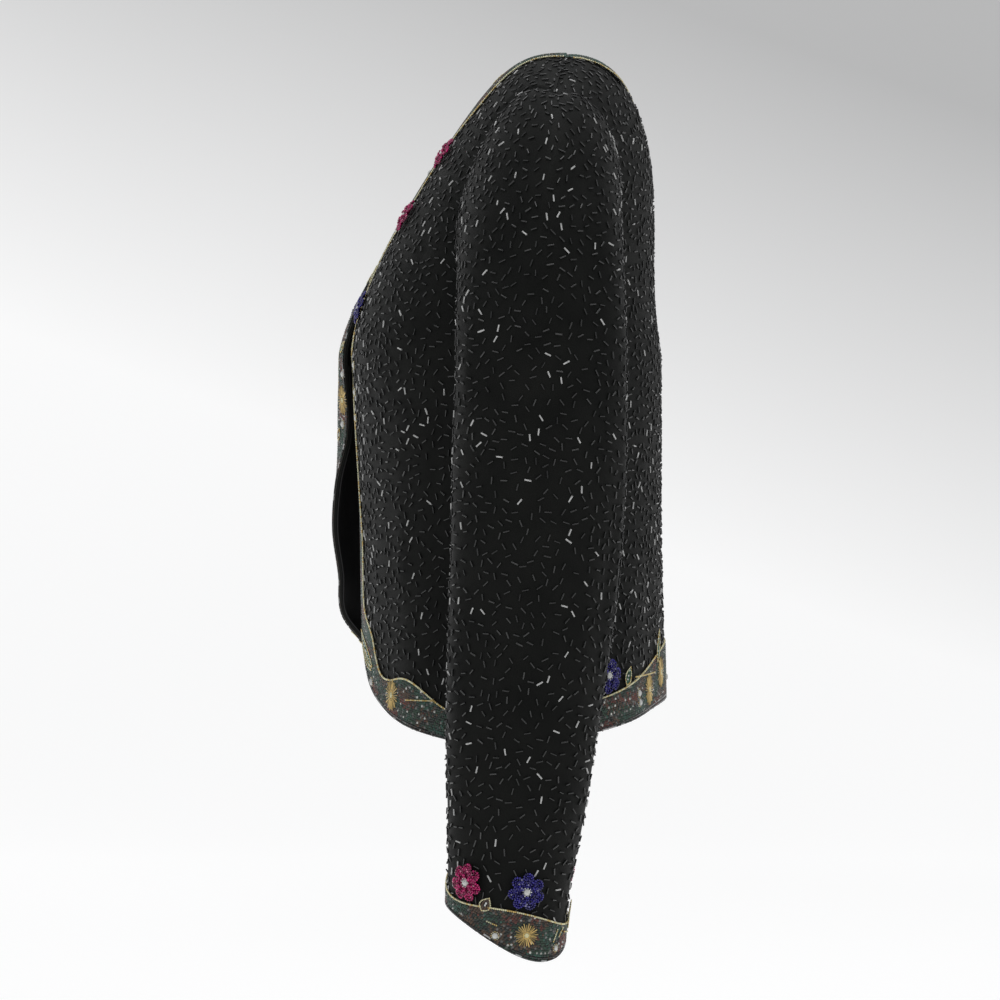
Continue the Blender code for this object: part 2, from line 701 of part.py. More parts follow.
def build():
    silk = material("black silk", (0.012, 0.013, 0.012), 0.75)
    beads = material("band beads", (0.03, 0.035, 0.025), 0.3)
    satin = material("lining", (0.004, 0.004, 0.004), 0.6)
    colours = {"pink": material("pink beads", (0.45, 0.02, 0.15), 0.25),
               "blue": material("blue beads", (0.02, 0.02, 0.25), 0.25)}

    front, edge, away = front_flat()
    back = back_flat()
    left = front_place(front, 1)
    right = front_place(front, -1)
    rear = BACK.place(back[..., 0], back[..., 1])
    normals = {1: grid_normals(left, -1.0), -1: grid_normals(right, 1.0),
               "rear": grid_normals(rear, -1.0)}

    share_seams(left, right, rear, normals)
    every = EDGE_STEPS // ARM_STEPS
    arm_back = rear[-1, -ARM_STEPS - 1:]
    sleeves = {}
    for side in (1, -1):
        panel = left if side > 0 else right
        mirror = np.array([side, 1.0, 1.0])
        arm_front = panel[::every, -1] * mirror
        loop = np.concatenate([arm_front[::-1], arm_back[1:-1]])
        body = np.concatenate([(normals[side][::every, -1] * mirror)[::-1],
                               normals["rear"][-1, -ARM_STEPS:-1]])
        steps = 2 * ARM_STEPS
        angle = math.pi * np.arange(steps) / ARM_STEPS
        grid = sleeve_grid(loop, body, angle)
        sleeves[side] = (grid, loop, body, angle)

    for side in (1, -1):
        word = "left" if side > 0 else "right"
        grid, loop, body, angle = sleeves[side]
        mirror = np.array([side, 1.0, 1.0])
        tube = ring_normals(grid)
        grid[0] += off_armhole(loop, tube[0], grid[1] - grid[0])
        common = mitre(body, tube[0])
        common[::ARM_STEPS, 1] = 0.0
        tube[0] = common
        panel = left if side > 0 else right
        wall = normals[side]
        shifted = (loop + off_armhole(loop, body, loop - loop.mean(axis=0))) * mirror
        inside = common * mirror
        front_stations = np.arange(ARM_STEPS, -1, -1)
        along = np.arange(EDGE_STEPS + 1) / every
        for k in range(3):
            wall[:, -1, k] = np.interp(along, np.arange(ARM_STEPS + 1), inside[front_stations, k])
            panel[:, -1, k] = np.interp(along, np.arange(ARM_STEPS + 1), shifted[front_stations, k])
        rear_stations = np.arange(ARM_STEPS, 2 * ARM_STEPS + 1) % (2 * ARM_STEPS)
        column = -1 if side > 0 else 0
        normals["rear"][column, -ARM_STEPS - 1:] = inside[rear_stations]
        rear[column, -ARM_STEPS - 1:] = shifted[rear_stations]
        make_sleeve(word, side, grid * mirror, tube * mirror, silk, beads, colours)

    for side in (1, -1):
        word = "left" if side > 0 else "right"
        panel = left if side > 0 else right
        make_front(word, side, panel, normals[side], edge, away, (silk, beads, satin), colours)
    make_back(rear, normals["rear"], back, silk, beads, colours)


def make_sleeve(word, side, grid, tube, silk, beads, colours):
    rings, around = grid.shape[:2]
    points, away = grid.reshape(-1, 3), tube.reshape(-1, 3)

    def faces(first, last):
        made = []
        for r in range(first, last):
            for k in range(around):
                n = (k + 1) % around
                near, far = r * around + k, r * around + n
                made += [[near, far, far + around], [near, far + around, near + around]]
        return made if side > 0 else [face[::-1] for face in made]

    full = faces(0, rings - 1)
    add("sleeve_" + word, *shell(points, away, full, -CLOTH, 0.0), silk)
    strip = faces(rings - 1 - STRIP_ROWS, rings - 1)
    add("border_cuff_" + word, *shell(points, away, strip, BAND_LIFT, BAND_TOP), beads)
    for n, (colour, degrees) in enumerate(CUFF_FLOWERS):
        angle = np.array(math.radians(degrees))
        rise = vine_height(angle + FLAT_STEP) - vine_height(angle - FLAT_STEP)
        slope = rise / (2 * FLAT_STEP * SLEEVE[-1][4])
        z = vine_height(angle) + FLOWER_SPACE * math.hypot(1.0, slope)
        name = "flower_cuff_{}_{}_{}".format(word, n + 1, colour)
        flower(name, on_sleeve(side, angle, z), colours[colour])


def make_front(word, side, panel, wall, edge, away_flat, finishes, colours):
    silk, beads, satin = finishes
    rows = panel.shape[1]
    whole = panel.copy()
    pull_in(whole, 0, 1)
    pull_in(whole, -1, -2)
    points, away = whole.reshape(-1, 3), wall.reshape(-1, 3)
    flip = side > 0
    full = grid_faces(EDGE_STEPS, 0, rows - 1, rows, flip, STRIP_ROWS)
    add("front_" + word, *shell(points, away, full, -CLOTH, 0.0), silk)
    strip = grid_faces(EDGE_STEPS, 0, STRIP_ROWS, rows, flip)
    add("border_front_" + word, *shell(points, away, strip, BAND_LIFT, BAND_TOP), beads)
    if side < 0:
        seen = grid_faces(EDGE_STEPS, 0, LINING_ROWS, rows, flip, STRIP_ROWS)
        first, last = LINING_STATIONS
        kept = [face for face in seen if all(first <= k // rows <= last for k in face)]
        add("lining_front_right", *shell(points, away, kept, -CLOTH - LINING_LIFT - LINING,
                                         -CLOTH - LINING_LIFT), satin)
    tree = outer_tree(points, full)

    def place(spot):
        return front_place(np.asarray(spot)[None], side)[0]

    for n, (colour, share) in enumerate(FRONT_FLOWERS):
        station = share * EDGE_STEPS
        distance = band_width(FRONT_BAND, share) + FLOWER_SPACE
        spot = [np.interp(station, np.arange(EDGE_STEPS + 1), edge[:, k] + distance * away_flat[:, k])
                for k in (0, 1)]
        centre, across, up = frame_at(place, np.array(spot))
        flower("flower_front_{}_{}_{}".format(word, n + 1, colour),
               on_panel(tree, centre, across * side, up), colours[colour])


def make_back(rear, wall, flat, silk, beads, colours):
    rows = rear.shape[1]
    whole = rear.copy()
    low = slice(0, -ARM_STEPS)
    pull_in(whole, (0, low), (1, low))
    pull_in(whole, (-1, low), (-2, low))
    seam = SHOULDER_STEPS + 1
    for span in (slice(0, seam), slice(-seam, None)):
        pull_in(whole, (span, -1), (span, -2))
    points, away = whole.reshape(-1, 3), wall.reshape(-1, 3)
    full = grid_faces(BACK_COLUMNS, 0, rows - 1, rows, True, None, BACK_COLUMNS // 2)
    add("back", *shell(points, away, full, -CLOTH, 0.0), silk)
    strip = grid_faces(BACK_COLUMNS, 0, STRIP_ROWS, rows, True, None, BACK_COLUMNS // 2)
    add("border_back_hem", *shell(points, away, strip, BAND_LIFT, BAND_TOP), beads)
    first, last = SHOULDER_STEPS - COLLAR_REACH, BACK_COLUMNS - SHOULDER_STEPS + COLLAR_REACH
    collar = [face for face in full
              if all(k % rows >= rows - 2 and first <= k // rows <= last for k in face)]
    add("border_back_neck", *shell(points, away, collar, BAND_LIFT, BAND_TOP), beads)
    tree = outer_tree(points, full)

    def place(spot):
        return BACK.place(np.asarray(spot)[None, 0], np.asarray(spot)[None, 1])[0]

    for n, (colour, share) in enumerate(BACK_FLOWERS):
        station = share * BACK_COLUMNS
        girth = np.interp(station, np.arange(BACK_COLUMNS + 1), flat[:, 0, 0])
        height = np.interp(station, np.arange(BACK_COLUMNS + 1), flat[:, 0, 1])
        height += band_width(BACK_BAND, share) + FLOWER_SPACE
        centre, across, up = frame_at(place, np.array([girth, height]))
        flower("flower_back_{}_{}".format(n + 1, colour), on_panel(tree, centre, -across, up),
               colours[colour])


for thing in list(bpy.data.objects):
    bpy.data.objects.remove(thing, do_unlink=True)
build()
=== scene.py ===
import math

import bpy
import numpy as np
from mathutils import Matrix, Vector
from mathutils.bvhtree import BVHTree


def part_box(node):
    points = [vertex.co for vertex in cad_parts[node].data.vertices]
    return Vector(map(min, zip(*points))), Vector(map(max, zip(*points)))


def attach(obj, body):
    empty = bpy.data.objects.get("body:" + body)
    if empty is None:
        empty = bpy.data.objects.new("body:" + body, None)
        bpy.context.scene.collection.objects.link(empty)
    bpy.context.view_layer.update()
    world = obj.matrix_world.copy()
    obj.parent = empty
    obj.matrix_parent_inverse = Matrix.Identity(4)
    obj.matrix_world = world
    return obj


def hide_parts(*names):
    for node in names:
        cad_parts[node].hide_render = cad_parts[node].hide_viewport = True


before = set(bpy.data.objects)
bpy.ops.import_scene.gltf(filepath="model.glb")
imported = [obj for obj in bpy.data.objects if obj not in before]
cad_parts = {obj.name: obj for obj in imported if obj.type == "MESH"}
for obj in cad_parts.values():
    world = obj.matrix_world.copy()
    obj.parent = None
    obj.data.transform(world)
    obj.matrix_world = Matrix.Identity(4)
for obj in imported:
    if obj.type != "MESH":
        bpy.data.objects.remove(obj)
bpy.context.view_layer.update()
bpy.ops.object.select_all(action="DESELECT")
rng = np.random.default_rng(41)

# The jacket's measures, as in the solid model
CLOTH = 0.0016
SEAM_GAP = 0.0003
SECTION_POWER = 2.3
UNDERARM_Z = -0.215
SIDE_Y = -0.046
NECK_X = 0.080
SHOULDER_X = 0.190
SHOULDER_DROP = 0.040
SHOULDER_SPREAD = 0.215
SHOULDER_Y = -0.010
BACK_NECK_DROP = 0.0324
BACK_NECK_POWER = 0.8
NECK_BAND = 0.024
SHOULDER_POWER = 1.4
BODY = (
    # z, half_width, front_y, back_y
    (-0.215, 0.1840, -0.1575, 0.0720),
    (-0.270, 0.1815, -0.1545, 0.0720),
    (-0.330, 0.1800, -0.1510, 0.0715),
    (-0.400, 0.1830, -0.1500, 0.0720),
    (-0.475, 0.1880, -0.1495, 0.0725),
    (-0.520, 0.1900, -0.1495, 0.0730),
)
FRONT_EDGE = (
    # x, z
    (0.1500, -0.4815), (0.1200, -0.4720), (0.0930, -0.4610), (0.0700, -0.4450),
    (0.0480, -0.4180), (0.0300, -0.3850), (0.0140, -0.3400), (0.0000, -0.2950),
    (-0.0100, -0.2550), (-0.0120, -0.2150), (-0.0040, -0.1860), (0.0120, -0.1560),
    (0.0330, -0.1150), (0.0560, -0.0620), (0.0730, -0.0220),
)
FRONT_MIDDLE = (0.12, -0.30)
SIDE_HEM_Z = -0.499
BACK_HEM_Z = -0.470
HEM_POWER = 1.8
LIFT_AT = (0.0, 0.026, 0.060, 0.110)
LIFT = (
    # z, at the edge, at the vine, at 60 mm
    (-0.110, 0.0000, 0.0000, 0.0000),
    (-0.170, 0.0040, 0.0065, 0.0030),
    (-0.220, 0.0062, 0.0110, 0.0060),
    (-0.275, 0.0075, 0.0150, 0.0075),
    (-0.310, 0.0180, 0.0180, 0.0085),
    (-0.345, 0.0225, 0.0180, 0.0085),
    (-0.380, 0.0195, 0.0150, 0.0075),
    (-0.412, 0.0185, 0.0115, 0.0060),
    (-0.435, 0.0045, 0.0040, 0.0025),
    (-0.470, 0.0000, 0.0000, 0.0000),
)
FRONT_FOLDS = (
    # share, top_z, bottom_z, width, depth
    (0.50, -0.200, -0.540, 0.036, -0.0030),
    (0.72, -0.240, -0.540, 0.030, 0.0026),
    (0.88, -0.230, -0.540, 0.026, -0.0028),
)
BACK_FOLDS = (
    # share, top_z, bottom_z, width, depth
    (-0.78, -0.220, -0.540, 0.034, -0.0036),
    (-0.52, -0.280, -0.540, 0.040, 0.0030),
    (-0.24, -0.300, -0.540, 0.038, -0.0028),
    (0.08, -0.290, -0.540, 0.042, 0.0026),
    (0.36, -0.270, -0.540, 0.040, -0.0030),
    (0.64, -0.230, -0.540, 0.036, 0.0032),
)
FRONT_RISE = (1.27, 0.363)
BACK_RISE = (1.05, 0.428)
FRONT_ARMHOLE = ((-0.030, 0.022), (-0.078, -0.044))
BACK_ARMHOLE = ((-0.052, 0.006), (-0.076, -0.160))
SLEEVE_TOP_Z = -0.240
SLEEVE = (
    # z, centre_x, centre_y, half_width, half_depth
    (-0.240, 0.2420, -0.0200, 0.0490, 0.0580),
    (-0.323, 0.2400, -0.0220, 0.0480, 0.0590),
    (-0.391, 0.2400, -0.0255, 0.0470, 0.0570),
    (-0.487, 0.2390, -0.0335, 0.0450, 0.0510),
    (-0.548, 0.2380, -0.0380, 0.0430, 0.0455),
    (-0.582, 0.2370, -0.0415, 0.0410, 0.0420),
    (-0.640, 0.2360, -0.0455, 0.0390, 0.0385),
)
RIM_Z = -0.6098
RIM_OUTER = -0.0149
RIM_FRONT = 0.0128
RIM_TWIST = 0.0045
CAP_LEAVE = (0.006, 0.058)
CAP_ARRIVE = (0.010, 0.135)
CAP_POWER = 0.8
CAP_BEND = 0.35
CAP_FLARE = 0.25
SLEEVE_FOLDS = (
    # angle, top_z, bottom_z, width, depth
    (24.0, -0.060, -0.300, 15.0, -0.0022),
    (-34.0, -0.070, -0.240, 14.0, -0.0024),
    (-8.0, -0.180, -0.420, 15.0, -0.0020),
    (38.0, -0.330, -0.520, 17.0, -0.0024),
    (-60.0, -0.280, -0.480, 18.0, -0.0026),
    (150.0, -0.260, -0.470, 22.0, -0.0026),
    (-140.0, -0.300, -0.520, 22.0, -0.0024),
)
FRONT_BAND = (0.0260, 0.0060, 7.5, 0.45, 0.06)
BACK_BAND = (0.0330, 0.0105, 1.28, 0.14, 0.0)
CUFF_BAND = (0.0200, 0.0100, 2.0, 0.367, 0.0)
COLLAR_TURNS = (math.radians(3.0), math.radians(10.0))

# Divisions of the cloth
EDGE_STEPS = 240
FRONT_ROWS = 30
BACK_COLUMNS = 128
SHOULDER_STEPS = 40
COLLAR_REACH = 8
NECK_ROWS = 4
BACK_SIDE_ROWS = 28
ARM_STEPS = 40
CAP_ROWS = 24
ARM_ROWS = 50
STRIP_ROWS = 8
CREASE_STEPS = 14
FLAT_STEP = 1e-4
SEAM_SINK = 0.0013
LINING_GAP = 0.0004
LINING_WALL = 0.0009
LINING_PART = (slice(56, 145), slice(None, 18))

# Flat sizes of the sheets, and the mean radius that turns an angle round the arm into girth
FRONT_CUT = (0.27, 0.56)
BACK_CUT = (0.50, 0.56)
SLEEVE_CUT = (0.36, 0.62)
ARM_RADIUS = 0.05

# Creases, listed one by one: points along each, girth or arc and height, then width and depth
FRONT_CREASES = (
    (((0.205, -0.235), (0.190, -0.300), (0.192, -0.380)), 0.0060, -0.0012),
    (((0.160, -0.250), (0.150, -0.330), (0.158, -0.430)), 0.0080, 0.0010),
    (((0.120, -0.180), (0.112, -0.240), (0.125, -0.300)), 0.0070, -0.0009),
    (((0.215, -0.400), (0.200, -0.440), (0.196, -0.480)), 0.0060, 0.0011),
    (((0.085, -0.300), (0.090, -0.360), (0.082, -0.420)), 0.0080, -0.0008),
    (((0.130, -0.090), (0.150, -0.120), (0.160, -0.170)), 0.0060, -0.0010),
)
BACK_CREASES = (
    (((0.200, -0.240), (0.188, -0.320), (0.196, -0.420)), 0.0070, -0.0013),
    (((0.150, -0.210), (0.140, -0.270), (0.146, -0.350)), 0.0080, 0.0010),
    (((0.090, -0.260), (0.096, -0.350), (0.088, -0.440)), 0.0090, -0.0010),
    (((0.020, -0.120), (0.026, -0.200), (0.016, -0.300)), 0.0090, -0.0009),
    (((-0.060, -0.230), (-0.052, -0.330), (-0.064, -0.430)), 0.0080, 0.0011),
    (((-0.120, -0.140), (-0.130, -0.220), (-0.122, -0.320)), 0.0080, -0.0011),
    (((-0.190, -0.230), (-0.180, -0.300), (-0.190, -0.400)), 0.0070, 0.0010),
    (((-0.210, -0.330), (-0.200, -0.400), (-0.206, -0.470)), 0.0060, -0.0011),
)
SLEEVE_CREASES = (
    (((0.020, -0.085), (0.016, -0.150), (0.022, -0.215)), 0.0045, -0.0013),
    (((-0.022, -0.080), (-0.028, -0.130), (-0.020, -0.190)), 0.0045, -0.0012),
    (((-0.004, -0.300), (0.004, -0.360), (-0.002, -0.420)), 0.0050, 0.0010),
    (((0.020, -0.320), (0.028, -0.400), (0.018, -0.470)), 0.0050, -0.0013),
    (((-0.030, -0.350), (-0.022, -0.400), (-0.034, -0.460)), 0.0050, -0.0010),
    (((0.040, -0.180), (0.052, -0.230), (0.044, -0.300)), 0.0060, 0.0012),
    (((0.010, -0.470), (-0.004, -0.520), (0.006, -0.560)), 0.0045, -0.0009),
    (((-0.052, -0.230), (-0.060, -0.330), (-0.050, -0.430)), 0.0060, -0.0012),
    (((0.110, -0.250), (0.120, -0.340), (0.108, -0.440)), 0.0070, -0.0012),
    (((-0.100, -0.290), (-0.092, -0.380), (-0.104, -0.480)), 0.0070, 0.0012),
    (((0.085, -0.300), (0.072, -0.345), (0.090, -0.390)), 0.0055, -0.0011),
)

# Eye of the picture, its middle pixel, a pixel's size at the middle of the body, and how far
# along a ray an ornament is looked for where the eye meets no cloth
EYE = np.array([2.6, -0.048, -0.323])
LENS = 124.8
MIDDLE_PIXEL = 500
PIXEL = 0.00075
MISS_REACH = 2.58

# Beads
BUGLE_LENGTH = 0.0046
BUGLE_RADIUS = 0.00058
BUGLES_PER_M2 = 19000
BUGLE_SPACE = 0.0058
SEED_RADIUS = 0.00086
SEED_STEP = 0.00172
SEED_ROW = 0.00158
SKIN_LOW = 0.0003
SKIN_HIGH = 0.0011
VINE_STEP = 0.00135
VINE_RADIUS = 0.00082
BURST_RAYS = 28
RAY_START = 0.0042
SHORT_RAY = 0.0098
LONG_RAY = 0.0112
RAY_RADIUS = 0.00036
FLOWER_CLEAR = 0.012

DARK_GREEN = (0.012, 0.044, 0.022)
BLACK_GREEN = (0.009, 0.018, 0.014)
BROWN = (0.085, 0.048, 0.026)
RED_BROWN = (0.130, 0.030, 0.018)
GREY = (0.160, 0.160, 0.150)
TEAL = (0.020, 0.075, 0.052)
GLINT = (0.62, 0.62, 0.58)
GOLD = (0.78, 0.56, 0.20)
CREAM = (0.90, 0.86, 0.56)
LEAF_GREEN = (0.015, 0.110, 0.045)
WHITE = (0.85, 0.86, 0.83)
MAGENTA = (0.60, 0.010, 0.170)
ROYAL = (0.026, 0.018, 0.270)


def ramp(value, low, high):
    """Smooth step from 0 at low to 1 at high."""
    t = np.clip((np.asarray(value, float) - low) / (high - low), 0.0, 1.0)
    return t * t * (3.0 - 2.0 * t)


def from_table(rows, column, at):
    """Smooth curve through one column of a table, whose first column falls from row to row."""
    keys = np.array([row[0] for row in rows])[::-1]
    values = np.array([row[column] for row in rows])[::-1]
    slopes = np.gradient(values, keys)
    at = np.clip(np.asarray(at, float), keys[0], keys[-1])
    k = np.clip(np.searchsorted(keys, at) - 1, 0, len(keys) - 2)
    span = keys[k + 1] - keys[k]
    t = (at - keys[k]) / span
    keep = (2 * t ** 3 - 3 * t ** 2 + 1) * values[k] + (-2 * t ** 3 + 3 * t ** 2) * values[k + 1]
    bend = (t ** 3 - 2 * t ** 2 + t) * slopes[k] + (t ** 3 - t ** 2) * slopes[k + 1]
    return keep + bend * span


def even(points, steps):
    """Points at even spacing on the smooth curve through the given ones."""
    points = np.asarray(points, float)
    ends = np.vstack([2 * points[0] - points[1], points, 2 * points[-1] - points[-2]])
    dense = []
    for a, b, c, d in zip(ends[:-3], ends[1:-2], ends[2:-1], ends[3:]):
        for t in np.linspace(0.0, 1.0, 24, endpoint=False):
            dense.append(0.5 * (2 * b + (c - a) * t + (2 * a - 5 * b + 4 * c - d) * t ** 2
                                + (3 * b - a - 3 * c + d) * t ** 3))
    dense = np.array(dense + [points[-1]])
    run = np.concatenate([[0.0], np.cumsum(np.linalg.norm(np.diff(dense, axis=0), axis=1))])
    want = np.linspace(0.0, run[-1], steps + 1)
    return np.stack([np.interp(want, run, dense[:, k]) for k in range(dense.shape[1])], axis=1)


def bezier(a, b, c, d, t):
    t = np.asarray(t)[..., None]
    return (1 - t) ** 3 * a + 3 * t * (1 - t) ** 2 * b + 3 * t ** 2 * (1 - t) * c + t ** 3 * d


def unit(vectors):
    return vectors / np.maximum(np.linalg.norm(vectors, axis=-1, keepdims=True), 1e-12)


class Half:
    """The front or the back of the body, as a flat sheet: girth from the centre line, and height."""

    def __init__(self, front):
        self.front = front
        self.depth_column = 2 if front else 3
        self.rise_power, self.round_power = FRONT_RISE if front else BACK_RISE
        self.handles = FRONT_ARMHOLE if front else BACK_ARMHOLE
        turn = np.linspace(0.0, math.pi / 2, 400)
        self.across = np.sin(turn) ** (2 / SECTION_POWER)
        self.forward = np.cos(turn) ** (2 / SECTION_POWER)
        depth = abs(self.depth(UNDERARM_Z))
        steps = np.hypot(np.diff(self.across) * BODY[0][1], np.diff(self.forward) * depth)
        self.girth = np.concatenate([[0.0], np.cumsum(steps)])
        self.quarter = self.girth[-1]
        self.rise = 1.0 - np.linspace(1.0, 0.0, 600) ** 2.5
        y, z = self.upper(0.6, self.rise)[1:]
        self.climb = np.concatenate([[0.0], np.cumsum(np.hypot(np.diff(y), np.diff(z)))])
        self.top = self.climb[-1]

    def depth(self, z):
        return from_table(BODY, self.depth_column, z) - SIDE_Y

    def upper(self, share, rise):
        """Point above the underarm, for a share of the half width and a share of the rise."""
        width = BODY[0][1] + (SHOULDER_SPREAD - BODY[0][1]) * rise ** 2
        x = share * width
        slope = np.clip((np.abs(x) - NECK_X) / (SHOULDER_X - NECK_X), 0.0, 2.0)
        drop = slope ** SHOULDER_POWER
        z = UNDERARM_Z + rise * (-SHOULDER_DROP * drop - UNDERARM_Z)
        arch = np.maximum(1.0 - rise ** self.rise_power, 0.0) ** self.round_power
        section = np.maximum(1.0 - np.abs(share) ** SECTION_POWER, 0.0) ** (1 / SECTION_POWER)
        lean = ramp(rise, 0.0, 1.0)
        y = SIDE_Y * (1.0 - lean) + SHOULDER_Y * np.minimum(drop, 1.0) * lean
        return x, y + self.depth(UNDERARM_Z) * section * arch, z

    def place(self, girth, height):
        """Point of the smooth outer surface."""
        girth, height = np.asarray(girth, float), np.asarray(height, float)
        share = np.interp(np.abs(girth), self.girth, self.across)
        section = np.interp(np.abs(girth), self.girth, self.forward)
        low = np.minimum(height, 0.0) + UNDERARM_Z
        x_low = share * from_table(BODY, 1, low)
        y_low = SIDE_Y + self.depth(low) * section
        x_up, y_up, z_up = self.upper(share, np.interp(height, self.climb, self.rise))
        below = height < 0.0
        x = np.where(below, x_low, x_up) * np.where(girth < 0.0, -1.0, 1.0)
        point = np.stack([x, np.where(below, y_low, y_up), np.where(below, low, z_up)], axis=-1)
        return point + self.folds(girth, point)

    def folds(self, girth, point):
        outward = (point - np.array([0.0, SIDE_Y, 0.0])) * np.array([1.0, 1.0, 0.0])
        depth = np.zeros(np.shape(girth))
        for share, top, bottom, width, amount in FRONT_FOLDS if self.front else BACK_FOLDS:
            near = np.exp(-((girth - share * self.quarter) / width) ** 2)
            depth = depth + amount * near * ramp(-point[..., 2], -top, -bottom)
        depth = depth * (1.0 - (np.abs(girth) / self.quarter) ** 12)
        return unit(outward) * depth[..., None]

    def flat(self, x, z):
        """Girth and height of a point given by its x and z."""
        if z <= UNDERARM_Z:
            share, height = abs(x) / from_table(BODY, 1, z), z - UNDERARM_Z
        else:
            slope = max(abs(x) - NECK_X, 0.0) / (SHOULDER_X - NECK_X)
            rise = (z - UNDERARM_Z) / (-SHOULDER_DROP * slope ** SHOULDER_POWER - UNDERARM_Z)
            width = BODY[0][1] + (SHOULDER_SPREAD - BODY[0][1]) * rise ** 2
            share, height = abs(x) / width, np.interp(rise, self.rise, self.climb)
        girth = np.interp(min(share, 1.0), self.across, self.girth)
        return math.copysign(float(girth), x), float(height)

    def armhole(self, steps):
        """Flat line from the underarm point up to the shoulder point."""
        shoulder = np.interp(SHOULDER_X / SHOULDER_SPREAD, self.across, self.girth)
        start, end = np.array([self.quarter, 0.0]), np.array([shoulder, self.top])
        low, high = start + self.handles[0], end + self.handles[1]
        return even(bezier(start, low, high, end, np.linspace(0.0, 1.0, 30)), steps)


FRONT, BACK = Half(True), Half(False)


def lift_of_right(x, z, edge_x):
    """How far the right front stands forward, from its distance to its own edge."""
    distance = np.clip(edge_x - x, 0.0, LIFT_AT[-1])
    columns = [from_table(LIFT, k, z) for k in (1, 2, 3)] + [np.zeros_like(z)]
    result = np.zeros_like(z)
    for index in np.ndindex(z.shape):
        rows = [(-at, column[index]) for at, column in zip(LIFT_AT, columns)]
        result[index] = from_table(rows, 1, -distance[index])
    return np.maximum(result, 0.0)


def edge_x_at(z):
    """Where the right front's own edge stands at a height."""
    rows = [(zz, -xx) for xx, zz in FRONT_EDGE][::-1]
    return from_table(rows, 1, z)


def front_place(flat, side):
    """Outer surface of the left front for side 1, or of the lifted right front for side -1."""
    point = FRONT.place(flat[..., 0], flat[..., 1])
    if side > 0:
        return point
    point = point * np.array([-1.0, 1.0, 1.0])
    point[..., 1] -= lift_of_right(point[..., 0], point[..., 2], edge_x_at(point[..., 2]))
    return point


def inward(half, line, aim):
    """Unit step on the flat sheet that leaves a line squarely, in real size, towards the aim side."""
    line = np.minimum(line, [half.quarter, half.top - 2 * FLAT_STEP])
    right, up = np.array([FLAT_STEP, 0.0]), np.array([0.0, FLAT_STEP])
    du = (half.place(*(line + right).T) - half.place(*(line - right).T)) / (2 * FLAT_STEP)
    dv = (half.place(*(line + up).T) - half.place(*(line - up).T)) / (2 * FLAT_STEP)
    along = np.gradient(line, axis=0)
    g11, g12, g22 = (du * du).sum(-1), (du * dv).sum(-1), (dv * dv).sum(-1)
    across = np.stack([-(g12 * along[:, 0] + g22 * along[:, 1]),
                       g11 * along[:, 0] + g12 * along[:, 1]], axis=-1)
    across *= np.sign((across * aim).sum(-1, keepdims=True))
    size = np.sqrt(g11 * across[:, 0] ** 2 + 2 * g12 * across[:, 0] * across[:, 1]
                   + g22 * across[:, 1] ** 2)
    return across / size[:, None]


def coons(start, end, first, last):
    """Grid of flat points between two lines (rows 0 and -1) and two sides (columns 0 and -1)."""
    s = np.linspace(0.0, 1.0, len(start))[:, None, None]
    t = np.linspace(0.0, 1.0, len(first))[None, :, None]
    corners = ((1 - s) * (1 - t) * start[0] + s * (1 - t) * start[-1]
               + (1 - s) * t * end[0] + s * t * end[-1])
    return ((1 - t) * start[:, None] + t * end[:, None]
            + (1 - s) * first[None] + s * last[None] - corners)


def band_width(band, share):
    """Width of the band at a share of its edge."""
    mean, wave, count, start, grow = band
    share = np.asarray(share)
    if grow:
        wave = wave * ramp(np.minimum(share, 1.0 - share), -grow / 3, grow)
    return mean - wave * np.cos(2 * math.pi * (count * share - start))


def front_flat():
    """Flat grid of a front: stations along the edge, rows from the edge to the armhole."""
    points = [FRONT.flat(x, z) for x, z in FRONT_EDGE]
    hem = (FRONT.quarter, SIDE_HEM_Z - UNDERARM_Z)
    neck = FRONT.flat(NECK_X, 0.0)
    edge = even([hem] + points + [neck], EDGE_STEPS)
    middle = np.array(FRONT.flat(*FRONT_MIDDLE))
    away = inward(FRONT, edge, middle - edge)
    away[0], away[-1] = (0.0, 1.0), (abs(away[-1][0]), 0.0)
    width = band_width(FRONT_BAND, np.linspace(0.0, 1.0, EDGE_STEPS + 1))
    strip = [edge + away * (width * k / STRIP_ROWS)[:, None] for k in range(STRIP_ROWS + 1)]
    arm = FRONT.armhole(EDGE_STEPS)
    share = np.linspace(0.0, 1.0, FRONT_ROWS + 1)[:, None]
    first = strip[-1][0] * (1 - share) + arm[0] * share
    last = strip[-1][-1] * (1 - share) + arm[-1] * share
    rest = coons(strip[-1], arm, first, last)
    return np.concatenate([np.stack(strip[:-1], axis=1), rest], axis=1)


def round_neck(half_width, drop, turn):
    """Flat points of a line round the back of the neck, from left to right."""
    bow = drop * np.sin(turn) ** BACK_NECK_POWER
    return np.stack([half_width * np.cos(turn), BACK.top - bow], axis=-1)


